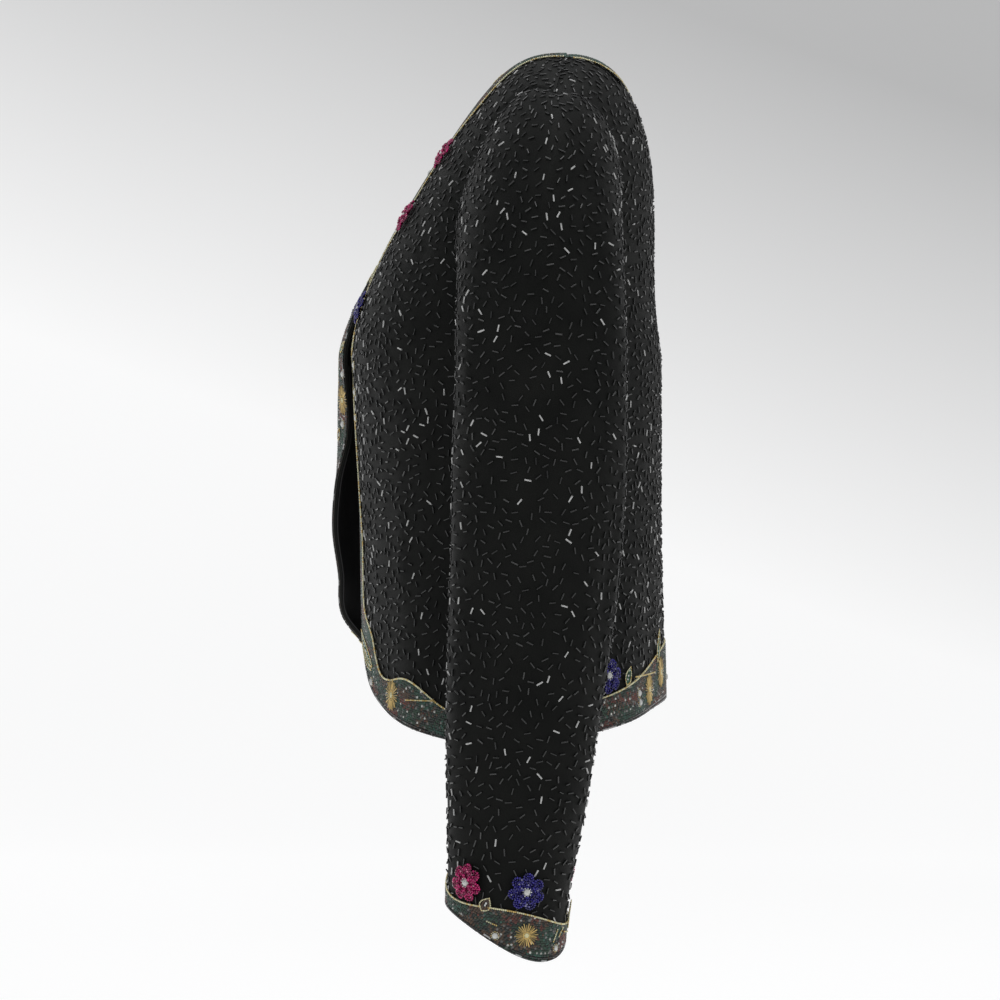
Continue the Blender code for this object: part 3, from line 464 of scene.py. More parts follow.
def back_top(shoulder, below):
    """Flat lines over the shoulders and round the neck: the seam line, and the neck band's edge."""
    neck = np.interp(NECK_X / SHOULDER_SPREAD, BACK.across, BACK.girth)
    share = np.linspace(0.0, 1.0, SHOULDER_STEPS + 1)[:, None]
    seam = shoulder * (1 - share) + np.array([neck, BACK.top]) * share
    around = BACK_COLUMNS - 2 * SHOULDER_STEPS + 1
    neckline = round_neck(neck, BACK_NECK_DROP, np.linspace(0.0, math.pi, around))
    top = np.concatenate([seam[:-1], neckline, (seam * [-1.0, 1.0])[::-1][1:]])
    start, reach = COLLAR_TURNS
    turns = np.linspace(reach, math.pi - reach, around)
    turns = np.concatenate([np.linspace(start, reach, COLLAR_REACH + 1)[:-1], turns])
    edge = round_neck(neck + NECK_BAND, BACK_NECK_DROP + NECK_BAND, turns)
    share = np.linspace(0.0, 1.0, SHOULDER_STEPS - COLLAR_REACH + 1)[:-1, None]
    over = below * (1 - share) + edge[0] * share
    half = np.concatenate([over, edge[:COLLAR_REACH]])
    collar = np.concatenate([half, edge[COLLAR_REACH:], (half * [-1.0, 1.0])[::-1]])
    return top[::-1], collar[::-1]


def back_flat():
    """Flat grid of the back: columns from right to left, rows from the hem up."""
    sag = np.linspace(-1.0, 1.0, BACK_COLUMNS + 1)
    girth = sag * BACK.quarter
    hem_z = BACK_HEM_Z + (SIDE_HEM_Z - BACK_HEM_Z) * np.abs(sag) ** HEM_POWER
    hem = np.stack([girth, hem_z - UNDERARM_Z], axis=-1)
    width = band_width(BACK_BAND, (sag + 1) / 2)
    strip = [hem + np.stack([girth * 0, width * k / STRIP_ROWS], axis=-1)
             for k in range(STRIP_ROWS + 1)]
    arm = BACK.armhole(ARM_STEPS)
    side_t = np.linspace(0.0, 1.0, BACK_SIDE_ROWS + 1)[:-1, None]
    side = strip[-1][-1] * (1 - side_t) + np.array([BACK.quarter, 0.0]) * side_t
    last = np.concatenate([side, arm[:-NECK_ROWS]])
    top, collar = back_top(arm[-1], arm[-1 - NECK_ROWS])
    rest = coons(strip[-1], collar, last * [-1.0, 1.0], last)
    end = arm[-1 - NECK_ROWS:]
    upper = coons(collar, top, end * [-1.0, 1.0], end)
    return np.concatenate([np.stack(strip[:-1], axis=1), rest[:, :-1], upper], axis=1)


def grid_normals(grid, outside):
    """Unit normals of a grid of points, turned to the side of the given sign."""
    return unit(np.cross(np.gradient(grid, axis=0), np.gradient(grid, axis=1))) * outside


def sleeve_ring(z, angle):
    """Point of the hanging sleeve: angle 0 faces out from the body, 90 the front."""
    x = from_table(SLEEVE, 1, z) + from_table(SLEEVE, 3, z) * np.cos(angle)
    y = from_table(SLEEVE, 2, z) - from_table(SLEEVE, 4, z) * np.sin(angle)
    return np.stack([x, y, z], axis=-1)


def rim_height(angle):
    """Height of the slanted cuff edge round the arm."""
    return (RIM_Z + RIM_OUTER * np.cos(angle) + RIM_FRONT * np.sin(angle)
            + RIM_TWIST * np.sin(2 * angle))


def vine_height(angle):
    """Height of the top of the cuff's band round the arm."""
    return rim_height(angle) + band_width(CUFF_BAND, angle / (2 * math.pi))


def sleeve_folds(point, angle):
    """Depth of the folds at points of the sleeve."""
    degrees = np.degrees(angle)
    depth = np.zeros(point.shape[:-1])
    for centre, top, bottom, width, amount in SLEEVE_FOLDS:
        off = (degrees - centre + 180.0) % 360.0 - 180.0
        along = np.sin(math.pi * np.clip((point[..., 2] - top) / (bottom - top), 0.0, 1.0))
        depth += amount * np.exp(-(off / width) ** 2) * along
    return depth


def sleeve_grid(armhole, body_normals, angle):
    """Rings from the armhole to the cuff, each with one point for each armhole station."""
    top = sleeve_ring(np.full_like(angle, SLEEVE_TOP_Z), angle)
    outer = (1 + np.cos(angle)) / 2
    leave = CAP_LEAVE[0] + (CAP_LEAVE[1] - CAP_LEAVE[0]) * outer ** CAP_POWER
    arrive = CAP_ARRIVE[0] + (CAP_ARRIVE[1] - CAP_ARRIVE[0]) * outer
    out = np.array([1.0, 0.0, 0.0]) - CAP_BEND * body_normals * (body_normals[:, :1] > 0)
    out = unit(unit(out) * [1.0, CAP_FLARE, CAP_FLARE])
    first = armhole + out * leave[:, None]
    second = top + np.array([0.0, 0.0, 1.0]) * arrive[:, None]
    rows = [bezier(armhole, first, second, top, np.full(len(angle), t))
            for t in np.linspace(0.0, 1.0, CAP_ROWS + 1)]
    rim, vine = rim_height(angle), vine_height(angle)
    for t in np.linspace(0.0, 1.0, ARM_ROWS + 1)[1:]:
        rows.append(sleeve_ring(SLEEVE_TOP_Z * (1 - t) + vine * t, angle))
    for t in np.linspace(0.0, 1.0, STRIP_ROWS + 1)[1:]:
        rows.append(sleeve_ring(vine * (1 - t) + rim * t, angle))
    grid = np.stack(rows)
    axis = np.stack([from_table(SLEEVE, 1, grid[..., 2]), from_table(SLEEVE, 2, grid[..., 2]),
                     grid[..., 2]], axis=-1)
    grid += unit(grid - axis) * sleeve_folds(grid, np.broadcast_to(angle, grid.shape[:2]))[..., None]
    return grid


def crease_depth(u, v, table, around=0.0):
    """Depth of the uneven creases at places of a sheet; around is the girth of a tube."""
    depth = np.zeros(np.shape(u))
    for points, width, amount in table:
        line = even(points, CREASE_STEPS)
        best = np.full(np.shape(u), 9.0)
        where = np.zeros(np.shape(u))
        for k, (pu, pv) in enumerate(line):
            du = u - pu
            if around:
                du = (du + around / 2) % around - around / 2
            away = du ** 2 + ((v - pv) * 0.8) ** 2
            near = away < best
            best = np.where(near, away, best)
            where = np.where(near, k / CREASE_STEPS, where)
        uneven = 1.0 + 0.35 * np.sin(9.0 * where + pu * 90)
        swell = np.sin(math.pi * np.clip(where, 0.02, 0.98)) * uneven
        depth += amount * np.exp(-best / (width * (0.8 + 0.5 * where)) ** 2) * swell
    return depth


def ring_normals(grid):
    """Unit normals of a tube of rings, pointing out of it."""
    across = np.roll(grid, -1, axis=1) - np.roll(grid, 1, axis=1)
    return unit(np.cross(across, np.gradient(grid, axis=0)))


def linked(name, data):
    """A new object of the scene that holds the given data."""
    thing = bpy.data.objects.new(name, data)
    bpy.context.scene.collection.objects.link(thing)
    return thing


def mesh_of(name, points, faces, finish, uv=None):
    """One smooth object from points and faces, on the root body."""
    mesh = bpy.data.meshes.new(name)
    mesh.from_pydata([tuple(p) for p in points], [], faces)
    if uv is not None:
        layer = mesh.uv_layers.new(name="cut")
        loops = np.array([loop.vertex_index for loop in mesh.loops])
        layer.data.foreach_set("uv", uv[loops].ravel())
    mesh.validate()
    mesh.shade_smooth()
    piece = linked(name, mesh)
    piece.data.materials.append(finish)
    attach(piece, "root")
    return piece


def thicken(piece, thickness):
    """Gives a sheet its wall, inwards from its outer face."""
    wall = piece.modifiers.new("wall", "SOLIDIFY")
    wall.thickness = thickness
    wall.offset = -1.0
    bpy.context.view_layer.objects.active = piece
    bpy.ops.object.modifier_apply(modifier=wall.name)
    piece.data.set_sharp_from_angle(angle=math.radians(60))
    return piece


def quads(columns, rows, flip, closed=False):
    """Faces of a grid of points, with the first index along the columns."""
    faces = []
    last = columns if closed else columns - 1
    for i in range(last):
        n = (i + 1) % columns
        for j in range(rows - 1):
            face = [i * rows + j, n * rows + j, n * rows + j + 1, i * rows + j + 1]
            faces.append(face[::-1] if flip else face)
    return faces


def turned(grid, normals):
    """Whether a grid's faces have to be turned to look the way of its normals."""
    i, j = grid.shape[0] // 2, grid.shape[1] // 2
    face = np.cross(grid[i + 1, j] - grid[i, j], grid[i, j + 1] - grid[i, j])
    return bool(face @ normals[i, j] < 0)


def tree_of(grid, closed=False):
    """Search tree over a sheet."""
    columns, rows = grid.shape[:2]
    points = [tuple(p) for p in grid.reshape(-1, 3)]
    return BVHTree.FromPolygons(points, quads(columns, rows, False, closed))


# Finishes
def new_finish(name):
    finish = bpy.data.materials.new(name)
    finish.use_nodes = True
    tree = finish.node_tree
    return finish, tree, tree.nodes["Principled BSDF"]


def noise(tree, scale, detail):
    """Soft noise over the piece's own place."""
    coordinates = tree.nodes.new("ShaderNodeTexCoord")
    texture = tree.nodes.new("ShaderNodeTexNoise")
    texture.inputs["Scale"].default_value = scale
    texture.inputs["Detail"].default_value = detail
    tree.links.new(coordinates.outputs["Object"], texture.inputs["Vector"])
    return texture.outputs["Fac"]


def spread(tree, value, low, high, at=(0.3, 0.7)):
    """Colour ramp between two colours."""
    node = tree.nodes.new("ShaderNodeValToRGB")
    for element, place, colour in zip(node.color_ramp.elements, at, (low, high)):
        element.position = place
        element.color = (*colour, 1.0)
    tree.links.new(value, node.inputs["Fac"])
    return node.outputs["Color"]


def grain(tree, shader, value, strength, distance):
    """Fine relief on a finish."""
    bump = tree.nodes.new("ShaderNodeBump")
    bump.inputs["Strength"].default_value = strength
    bump.inputs["Distance"].default_value = distance
    tree.links.new(value, bump.inputs["Height"])
    tree.links.new(bump.outputs["Normal"], shader.inputs["Normal"])


def silk_finish():
    finish, tree, shader = new_finish("black silk crepe")
    colour = spread(tree, noise(tree, 34.0, 4.0), (0.0050, 0.0054, 0.0048), (0.0090, 0.0094, 0.0084))
    tree.links.new(colour, shader.inputs["Base Color"])
    shader.inputs["Roughness"].default_value = 0.62
    shader.inputs["Specular IOR Level"].default_value = 0.09
    shader.inputs["Sheen Weight"].default_value = 0.02
    shader.inputs["Sheen Roughness"].default_value = 0.45
    grain(tree, shader, noise(tree, 1500.0, 3.0), 0.5, 0.0004)
    return finish


def lining_finish():
    finish, tree, shader = new_finish("lining satin")
    colour = spread(tree, noise(tree, 60.0, 2.0), (0.0020, 0.0020, 0.0022), (0.0045, 0.0045, 0.0048))
    tree.links.new(colour, shader.inputs["Base Color"])
    shader.inputs["Roughness"].default_value = 0.5
    shader.inputs["Specular IOR Level"].default_value = 0.25
    grain(tree, shader, noise(tree, 900.0, 2.0), 0.2, 0.0002)
    return finish


def bead_finish(name, roughness, metallic=0.0, clear=0.0, level=0.5):
    """Glossy beads, each with the tint that it carries."""
    finish, tree, shader = new_finish(name)
    tint = tree.nodes.new("ShaderNodeAttribute")
    tint.attribute_name = "tint"
    mottle = spread(tree, noise(tree, 420.0, 1.0), (0.72, 0.72, 0.72), (1.0, 1.0, 1.0))
    mix = tree.nodes.new("ShaderNodeMix")
    mix.data_type = "RGBA"
    mix.blend_type = "MULTIPLY"
    mix.inputs["Factor"].default_value = 1.0
    tree.links.new(tint.outputs["Color"], mix.inputs["A"])
    tree.links.new(mottle, mix.inputs["B"])
    tree.links.new(mix.outputs["Result"], shader.inputs["Base Color"])
    shader.inputs["Roughness"].default_value = roughness
    shader.inputs["Metallic"].default_value = metallic
    shader.inputs["Transmission Weight"].default_value = clear
    shader.inputs["Specular IOR Level"].default_value = level
    shader.inputs["IOR"].default_value = 1.55
    return finish


def backing_finish():
    finish, tree, shader = new_finish("bead backing")
    colour = spread(tree, noise(tree, 160.0, 3.0), (0.006, 0.009, 0.007), (0.020, 0.014, 0.009))
    tree.links.new(colour, shader.inputs["Base Color"])
    shader.inputs["Roughness"].default_value = 0.55
    grain(tree, shader, noise(tree, 700.0, 2.0), 0.6, 0.0004)
    return finish


def stage_finish():
    """Pale ground with painted light: it glows more towards its foot, and less to the upper right."""
    finish, tree, shader = new_finish("pale stage")
    colour = spread(tree, noise(tree, 0.8, 1.0), (0.28, 0.28, 0.28), (0.31, 0.31, 0.31))
    tree.links.new(colour, shader.inputs["Base Color"])
    shader.inputs["Roughness"].default_value = 0.9
    shader.inputs["Emission Strength"].default_value = 1.0
    place = tree.nodes.new("ShaderNodeTexCoord")
    split = tree.nodes.new("ShaderNodeSeparateXYZ")
    tree.links.new(place.outputs["Object"], split.inputs["Vector"])
    slant = tree.nodes.new("ShaderNodeMath")
    slant.operation = "MULTIPLY_ADD"
    slant.inputs[1].default_value = 0.35
    tree.links.new(split.outputs["Y"], slant.inputs[0])
    tree.links.new(split.outputs["Z"], slant.inputs[2])
    share = tree.nodes.new("ShaderNodeMapRange")
    share.inputs["From Min"].default_value = -0.75
    share.inputs["From Max"].default_value = 0.75
    tree.links.new(slant.outputs["Value"], share.inputs["Value"])
    # Painted light: the emission colour is brighter low down and darker to the upper right.
    painted_glow = spread(tree, share.outputs["Result"], (0.78, 0.78, 0.78), (0.30, 0.30, 0.30), (0.27, 1.0))
    tree.links.new(painted_glow, shader.inputs["Emission Color"])
    return finish


SILK = silk_finish()
LINING_SATIN = lining_finish()
BACKING = backing_finish()
BUGLE_GLASS = bead_finish("bugle glass", 0.16)
SEED_GLASS = bead_finish("seed glass", 0.2)
GOLD_GLASS = bead_finish("gold beads", 0.3, metallic=0.35)
PETAL_GLASS = bead_finish("petal glass", 0.12, clear=0.15)
STONE = bead_finish("clear stone", 0.06, clear=0.25, level=0.8)


# Small models, made once and copied
def taken(flat=False):
    """Points and faces of the model in hand, which is then removed."""
    piece = bpy.context.object
    bpy.ops.object.mode_set(mode="OBJECT")
    points = np.array([tuple(v.co) for v in piece.data.vertices]) + np.array(piece.location)
    faces = [list(p.vertices) for p in piece.data.polygons]
    mesh = piece.data
    bpy.data.objects.remove(piece)
    bpy.data.meshes.remove(mesh)
    return points, faces, flat


def bugle_model():
    """A six-sided rod along X, one long and one in radius."""
    bpy.ops.mesh.primitive_cylinder_add(vertices=6, radius=1.0, depth=1.0, rotation=(0, math.pi / 2, 0))
    bpy.ops.object.transform_apply(location=True, rotation=True, scale=True)
    bpy.ops.object.mode_set(mode="EDIT")
    bpy.ops.mesh.select_all(action="SELECT")
    return taken()


def seed_model():
    """A squat six-sided bead with twelve faces: a cone, its base drawn down to a point."""
    bpy.ops.mesh.primitive_cone_add(vertices=6, radius1=1.0, radius2=0.0, depth=1.0,
                                    end_fill_type="TRIFAN", location=(0.0, 0.0, 0.5))
    for corner in bpy.context.object.data.vertices:
        if corner.co.xy.length < 0.1 and corner.co.z < 0.0:
            corner.co.z = -1.5
    bpy.ops.object.mode_set(mode="EDIT")
    bpy.ops.mesh.select_all(action="SELECT")
    bpy.ops.transform.resize(value=(1.08, 1.08, 0.92))
    return taken()


def round_model():
    """A rounder bead with twenty faces."""
    bpy.ops.mesh.primitive_ico_sphere_add(subdivisions=1, radius=1.0)
    bpy.ops.object.mode_set(mode="EDIT")
    bpy.ops.mesh.select_all(action="SELECT")
    bpy.ops.transform.resize(value=(1.0, 1.0, 0.88))
    return taken()


def stone_model():
    """A cut stone: ten-sided girdle, sloping crown and a flat table."""
    bpy.ops.mesh.primitive_circle_add(vertices=10, radius=1.0, fill_type="NGON")
    bpy.ops.object.mode_set(mode="EDIT")
    bpy.ops.mesh.select_all(action="SELECT")
    bpy.ops.mesh.extrude_region_move(TRANSFORM_OT_translate={"value": (0, 0, 0.22)})
    bpy.ops.mesh.extrude_region_move(TRANSFORM_OT_translate={"value": (0, 0, 0.26)})
    bpy.ops.transform.resize(value=(0.74, 0.74, 1.0))
    bpy.ops.mesh.extrude_region_move(TRANSFORM_OT_translate={"value": (0, 0, 0.14)})
    bpy.ops.transform.resize(value=(0.62, 0.62, 1.0))
    bpy.ops.mesh.select_all(action="SELECT")
    bpy.ops.mesh.normals_make_consistent(inside=False)
    return taken(flat=True)


BUGLE, SEED, ROUND, CUT_STONE = bugle_model(), seed_model(), round_model(), stone_model()


class Gathered:
    """Copies of one small model, gathered here and then joined to one mesh."""

    def __init__(self, name, model, finish, slot):
        self.name, self.model, self.finish, self.slot = name, model, finish, slot
        self.spots, self.frames, self.tints = [], [], []

    def add(self, spots, normals, along, sizes, tints):
        """Adds copies: sizes scale the model along, across and up."""
        spots = np.atleast_2d(spots)
        normals = unit(np.broadcast_to(np.atleast_2d(normals), spots.shape))
        along = np.broadcast_to(np.atleast_2d(along), spots.shape)
        along = unit(along - normals * (along * normals).sum(-1, keepdims=True))
        across = np.cross(normals, along)
        sizes = np.broadcast_to(np.atleast_2d(sizes), spots.shape)
        self.spots.append(spots)
        self.frames.append(np.stack([along * sizes[:, :1], across * sizes[:, 1:2],
                                     normals * sizes[:, 2:]], axis=-1))
        self.tints.append(np.broadcast_to(np.atleast_2d(tints), spots.shape))

    def join(self):
        points, faces, flat = self.model
        spots, frames = np.concatenate(self.spots), np.concatenate(self.frames)
        tints = np.concatenate(self.tints)
        count, size = len(spots), len(points)
        placed = spots[:, None] + np.einsum("mij,nj->mni", frames, points)
        corners = np.concatenate([np.array(face) for face in faces])
        loops = (corners[None] + size * np.arange(count)[:, None]).ravel()
        totals = np.tile([len(face) for face in faces], count)
        starts = np.concatenate([[0], np.cumsum(totals)[:-1]])
        mesh = bpy.data.meshes.new(self.name)
        mesh.vertices.add(size * count)
        mesh.vertices.foreach_set("co", placed.ravel())
        mesh.loops.add(len(loops))
        mesh.loops.foreach_set("vertex_index", loops.astype(np.int32))
        mesh.polygons.add(len(totals))
        mesh.polygons.foreach_set("loop_start", starts.astype(np.int32))
        mesh.update(calc_edges=True)
        mesh.validate()
        colour = mesh.attributes.new("tint", "FLOAT_COLOR", "POINT")
        values = np.concatenate([np.repeat(tints, size, axis=0), np.ones((size * count, 1))], axis=1)
        colour.data.foreach_set("color", values.ravel())
        if not flat:
            mesh.shade_smooth()
            mesh.set_sharp_from_angle(angle=math.radians(75))
        piece = linked(self.name, mesh)
        piece.data.materials.append(self.finish)
        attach(piece, "root")
        return piece


GOLDS = Gathered("gold_and_cream_beads", ROUND, GOLD_GLASS, "gold_beads")
RAYS = Gathered("gold_rays", BUGLE, GOLD_GLASS, "gold_beads")
LEAVES = Gathered("leaf_beads", SEED, SEED_GLASS, "green_beads")
STONES = Gathered("clear_stones", CUT_STONE, STONE, "crystal")


def on(tree, point):
    """Nearest spot and outward normal on a sheet."""
    spot, normal = tree.find_nearest(Vector(point))[:2]
    spot, normal = np.array(spot), np.array(normal)
    hub_x, hub_y = ARM_HUB if tree in ARM_TREES else (0.0, SIDE_Y)
    hub = np.array([math.copysign(hub_x, spot[0]), hub_y, spot[2] - 0.02])
    return spot, normal if (spot - hub) @ normal > 0 else -normal


def seen(tree, px, py):
    """Spot of a sheet that the eye sees at a place of the picture."""
    aim = np.array([0.0, (px - MIDDLE_PIXEL) * PIXEL + EYE[1], (MIDDLE_PIXEL - py) * PIXEL + EYE[2]])
    ray = unit(aim - EYE)
    hit = tree.ray_cast(Vector(EYE), Vector(ray))[0]
    return np.array(hit) if hit is not None else EYE + ray * MISS_REACH


def mirrored(point):
    return np.asarray(point) * np.array([-1.0, 1.0, 1.0])


ARM_TREES = []
UP = np.array([0.0, 0.0, 1.0])
ARM_HUB = (0.24, -0.035)


def string(group, tree, points, step, radius, tints, lift):
    """A row of beads along a line of points laid on a sheet."""
    length = np.linalg.norm(np.diff(np.asarray(points), axis=0), axis=1).sum()
    line = even(points, max(int(length / step), 2))
    laid = [on(tree, p) for p in line]
    spots = np.array([spot + normal * lift for spot, normal in laid])
    normals = np.array([normal for spot, normal in laid])
    tints = np.asarray(tints, float)
    if tints.ndim == 2:
        tints = tints[rng.integers(0, len(tints), len(spots))]
    group.add(spots, normals, np.gradient(spots, axis=0), (radius * 1.1, radius, radius), tints)


def tangents(normal):
    """Two directions along a sheet, the second one uphill."""
    rise = unit(UP - normal * (UP @ normal))
    return np.cross(rise, normal), rise


def round_about(spot, normal, radius, count):
    """Points at even turns round a spot of a sheet."""
    right, rise = tangents(normal)
    turns = [2 * math.pi * k / count for k in range(count)]
    return [spot + (right * math.cos(turn) + rise * math.sin(turn)) * radius for turn in turns]


def sunburst(tree, centre, scale=1.0):
    """Gold bugles that radiate from a pale ringed centre."""
    spot, normal = on(tree, centre)
    right, rise = tangents(normal)
    for radius, count, tint in ((0.0, 1, CREAM), (0.0014, 6, CREAM), (0.0031, 13, GOLD)):
        for place in round_about(spot, normal, radius * scale, count):
            at, away = on(tree, place)
            GOLDS.add(at + away * 0.0022, away, right, (0.0008,) * 3, tint)
    for k in range(BURST_RAYS):
        turn = 2 * math.pi * (k + 0.3 * rng.random()) / BURST_RAYS
        reach = (SHORT_RAY if k % 2 else LONG_RAY) * scale
        direction = right * math.cos(turn) + rise * math.sin(turn)
        at, away = on(tree, spot + direction * (reach + RAY_START * scale) / 2)
        tint = np.array(GOLD) * (0.45 + 0.75 * rng.random())
        size = (reach - 0.0040 * scale, RAY_RADIUS, RAY_RADIUS)
        RAYS.add(at + away * 0.0021, away, direction, size, tint)


def stone(tree, centre, width=0.0050):
    """A clear stone in a ring of small bright beads."""
    spot, normal = on(tree, centre)
    right = tangents(normal)[0]
    STONES.add(spot + normal * 0.0016, normal, right, (width / 2,) * 3, WHITE)
    for k, at in enumerate(round_about(spot, normal, width / 2 + 0.0006, 12)):
        GOLDS.add(at + normal * 0.0016, normal, right, (0.0005,) * 3, CREAM if k % 3 else GOLD)


def leaf(tree, foot, tip, width=0.0050, inner=LEAF_GREEN):
    """A pointed leaf: pale outline, and green beads inside."""
    foot, normal = on(tree, foot)
    tip = on(tree, tip)[0]
    along = tip - foot
    side = unit(np.cross(normal, along))
    for sign in (-1, 1):
        arc = [foot + along * t + side * sign * width * math.sin(math.pi * t ** 0.8) ** 0.9 / 2
               for t in np.linspace(0.0, 1.0, 7)]
        string(GOLDS, tree, arc, 0.00112, 0.00056, (CREAM, GOLD, CREAM), 0.0023)
    for k in (-1, 0, 1):
        rib = [foot + along * t + side * k * 0.26 * width * math.sin(math.pi * t)
               for t in np.linspace(0.12, 0.9, 5)]
        string(LEAVES, tree, rib, 0.0013, 0.00072,
               (inner, np.array(inner) * 0.6, WHITE if k == 0 else inner), 0.0021)


def stroke(tree, start, end):
    """A short straight line of gold beads."""
    line = [start, (np.asarray(start) + end) / 2, end]
    string(GOLDS, tree, line, 0.00112, 0.00058, (GOLD, CREAM), 0.0022)


def looped_flower(node, tree, colour):
    """A flower of standing loops of glass beads round a clear stone."""
    spot, normal = on(tree, middle_of(node))
    right, rise = tangents(normal)
    petals = Gathered(node + "_loops", ROUND, PETAL_GLASS, colour + "_beads")
    base = np.array(MAGENTA if colour == "pink" else ROYAL)
    start = rng.random() * 0.7
    for tier, (count, inner, outer, width, height, size) in enumerate((
            (7, 0.0026, 0.0122, 0.0086, 0.0026, 0.00092),
            (7, 0.0044, 0.0106, 0.0056, 0.0024, 0.00088),
            (7, 0.0062, 0.0090, 0.0024, 0.0022, 0.00090),
            (6, 0.0018, 0.0084, 0.0062, 0.0040, 0.00084))):
        for k in range(count):
            turn = start + 2 * math.pi * (k + 0.5 * (tier == 3)) / count + 0.12 * (rng.random() - 0.5)
            out = right * math.cos(turn) + rise * math.sin(turn)
            side = np.cross(normal, out)
            steps = max(int((2 * (outer - inner) + width) / (size * 1.75)), 8)
            for n in range(steps):
                t = 2 * math.pi * n / steps
                reach = (inner + outer) / 2 - math.cos(t) * (outer - inner) / 2
                across = math.sin(t) * width / 2 * (0.45 + 0.55 * (reach - inner) / (outer - inner))
                arch = math.sin(math.pi * (0.15 + 0.7 * (reach - inner) / (outer - inner)))
                raise_by = 0.0011 + height * arch
                # Petal colour varies at random; the pale share added to a few beads is a painted
                # highlight.
                tone_and_glint = base * (0.30 + 0.95 * rng.random()) + (0.25 if rng.random() < 0.06 else 0.0)
                petals.add(spot + out * reach + side * across + normal * raise_by, normal,
                           out, (size, size, size), tone_and_glint)
    piece = petals.join()
    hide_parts(node)
    STONES.add(spot + normal * 0.0036, normal, right, (0.0025,) * 3, WHITE)
    for at in round_about(spot, normal, 0.0030, 9):
        GOLDS.add(at + normal * 0.0042, normal, right, (0.0006,) * 3, WHITE)


def mottled(points):
    """Patchy colours of the seed beads, from slow waves over the place."""
    x, y, z = (points * 1000.0).T
    wave = (np.sin(x * 0.21 + z * 0.13 + 1.1) + np.sin(y * 0.24 - z * 0.19 + 0.4)
            + np.sin((x + y) * 0.09 + z * 0.31)) / 3.0 + rng.normal(0.0, 0.28, len(points))
    other = (np.sin(x * 0.17 - y * 0.11 + 2.0) + np.sin(z * 0.22 + y * 0.07)
             + rng.normal(0.0, 0.5, len(points)))
    colours = np.tile(BLACK_GREEN, (len(points), 1))
    colours[wave > 0.05] = DARK_GREEN
    colours[wave > 0.45] = TEAL
    colours[wave < -0.25] = BROWN
    colours[(wave < -0.35) & (other > 0.4)] = RED_BROWN
    colours[rng.random(len(points)) < 0.10] = GREY
    colours[rng.random(len(points)) < 0.028] = GLINT
    return colours * (0.6 + 0.8 * rng.random((len(points), 1)))


def blend_grid(grid, i, j):
    """Values of a grid between its points."""
    j = np.broadcast_to(np.asarray(j, float), np.shape(i))
    a, b = np.clip(i.astype(int), 0, grid.shape[0] - 2), np.clip(j.astype(int), 0, grid.shape[1] - 2)
    s, t = (i - a)[:, None], (j - b)[:, None]
    return (grid[a, b] * (1 - s) * (1 - t) + grid[a + 1, b] * s * (1 - t)
            + grid[a, b + 1] * (1 - s) * t + grid[a + 1, b + 1] * s * t)


def between(grid, normals, i, j):
    """Places and unit normals of a sheet between the points of its grid."""
    return blend_grid(grid, i, j), unit(blend_grid(normals, i, j))


def closed_up(grid, normals):
    """A tube's grid and normals, with the first column repeated at the end."""
    return np.concatenate([grid, grid[:1]]), np.concatenate([normals, normals[:1]])


def beaded_band(name, node, grid, normals, closed=False):
    """A band from the garment's edge (row 0) to its vine (last row): backing, beads and lines."""
    columns, rows = grid.shape[:2]
    skin = mesh_of(name, (grid + normals * SKIN_HIGH).reshape(-1, 3),
                   quads(columns, rows, turned(grid, normals), closed), BACKING)
    thicken(skin, SKIN_HIGH - SKIN_LOW)
    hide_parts(node)
    if closed:
        grid, normals = closed_up(grid, normals)
        columns += 1
    middle = grid[:, rows // 2]
    run = np.concatenate([[0.0], np.cumsum(np.linalg.norm(np.diff(middle, axis=0), axis=1))])
    width = np.linalg.norm(np.diff(grid, axis=1), axis=2).sum(axis=1)
    beads = Gathered(name + "_seeds", SEED, SEED_GLASS, "band_beads")
    for k in range(int(width.max() / SEED_ROW)):
        distance = 0.0010 + k * SEED_ROW
        places = np.arange(0.5 * SEED_STEP * (1 + k % 2), run[-1], SEED_STEP)
        places = places + rng.normal(0.0, 0.00016, len(places))
        i = np.interp(places, run, np.arange(columns))
        wide = np.interp(i, np.arange(columns), width)
        keep = distance < wide - 0.0006
        i, wide = i[keep], wide[keep]
        if not len(i):
            continue
        j = np.clip((distance + rng.normal(0.0, 0.00018, len(i))) / wide, 0.02, 0.98) * (rows - 1)
        spots, away = between(grid, normals, i, j)
        turn = rng.random((len(i), 3)) - 0.5
        sizes = SEED_RADIUS * (0.88 + 0.24 * rng.random((len(i), 1))) * np.array([[1.0, 1.0, 0.9]])
        beads.add(spots + away * 0.0014, away + 0.25 * turn, turn, sizes, mottled(spots))
    beads.join()
    edge = Gathered(name + "_rim", BUGLE, BUGLE_GLASS, "bugle_beads")
    for j, gap, share in ((0.25, 0.0049, 0.10), (0.75, 0.0052, 0.05)):
        places = np.arange(0.003, run[-1] - 0.002, gap)
        i = np.interp(places, run, np.arange(columns))
        spots, away = between(grid, normals, i, j)
        ahead = blend_grid(grid, np.minimum(i + 0.5, columns - 1.001), j)
        # A few rim beads take a pale tint as painted glints; the rest are dark.
        tints = np.where(rng.random((len(i), 1)) < share * 1.6, 0.5, 0.012) * np.ones((1, 3))
        edge.add(spots + away * 0.0016, away, ahead - spots + 1e-9,
                 (BUGLE_LENGTH, BUGLE_RADIUS, BUGLE_RADIUS), tints)
    edge.join()
    places = np.arange(0.0, run[-1], VINE_STEP)
    i = np.interp(places, run, np.arange(columns))
    spots, away = between(grid, normals, i, rows - 1)
    tints = np.where(rng.random((len(i), 1)) < 0.7, CREAM, GOLD)
    GOLDS.add(spots + away * 0.0013, away, np.gradient(spots, axis=0), (VINE_RADIUS,) * 3, tints)


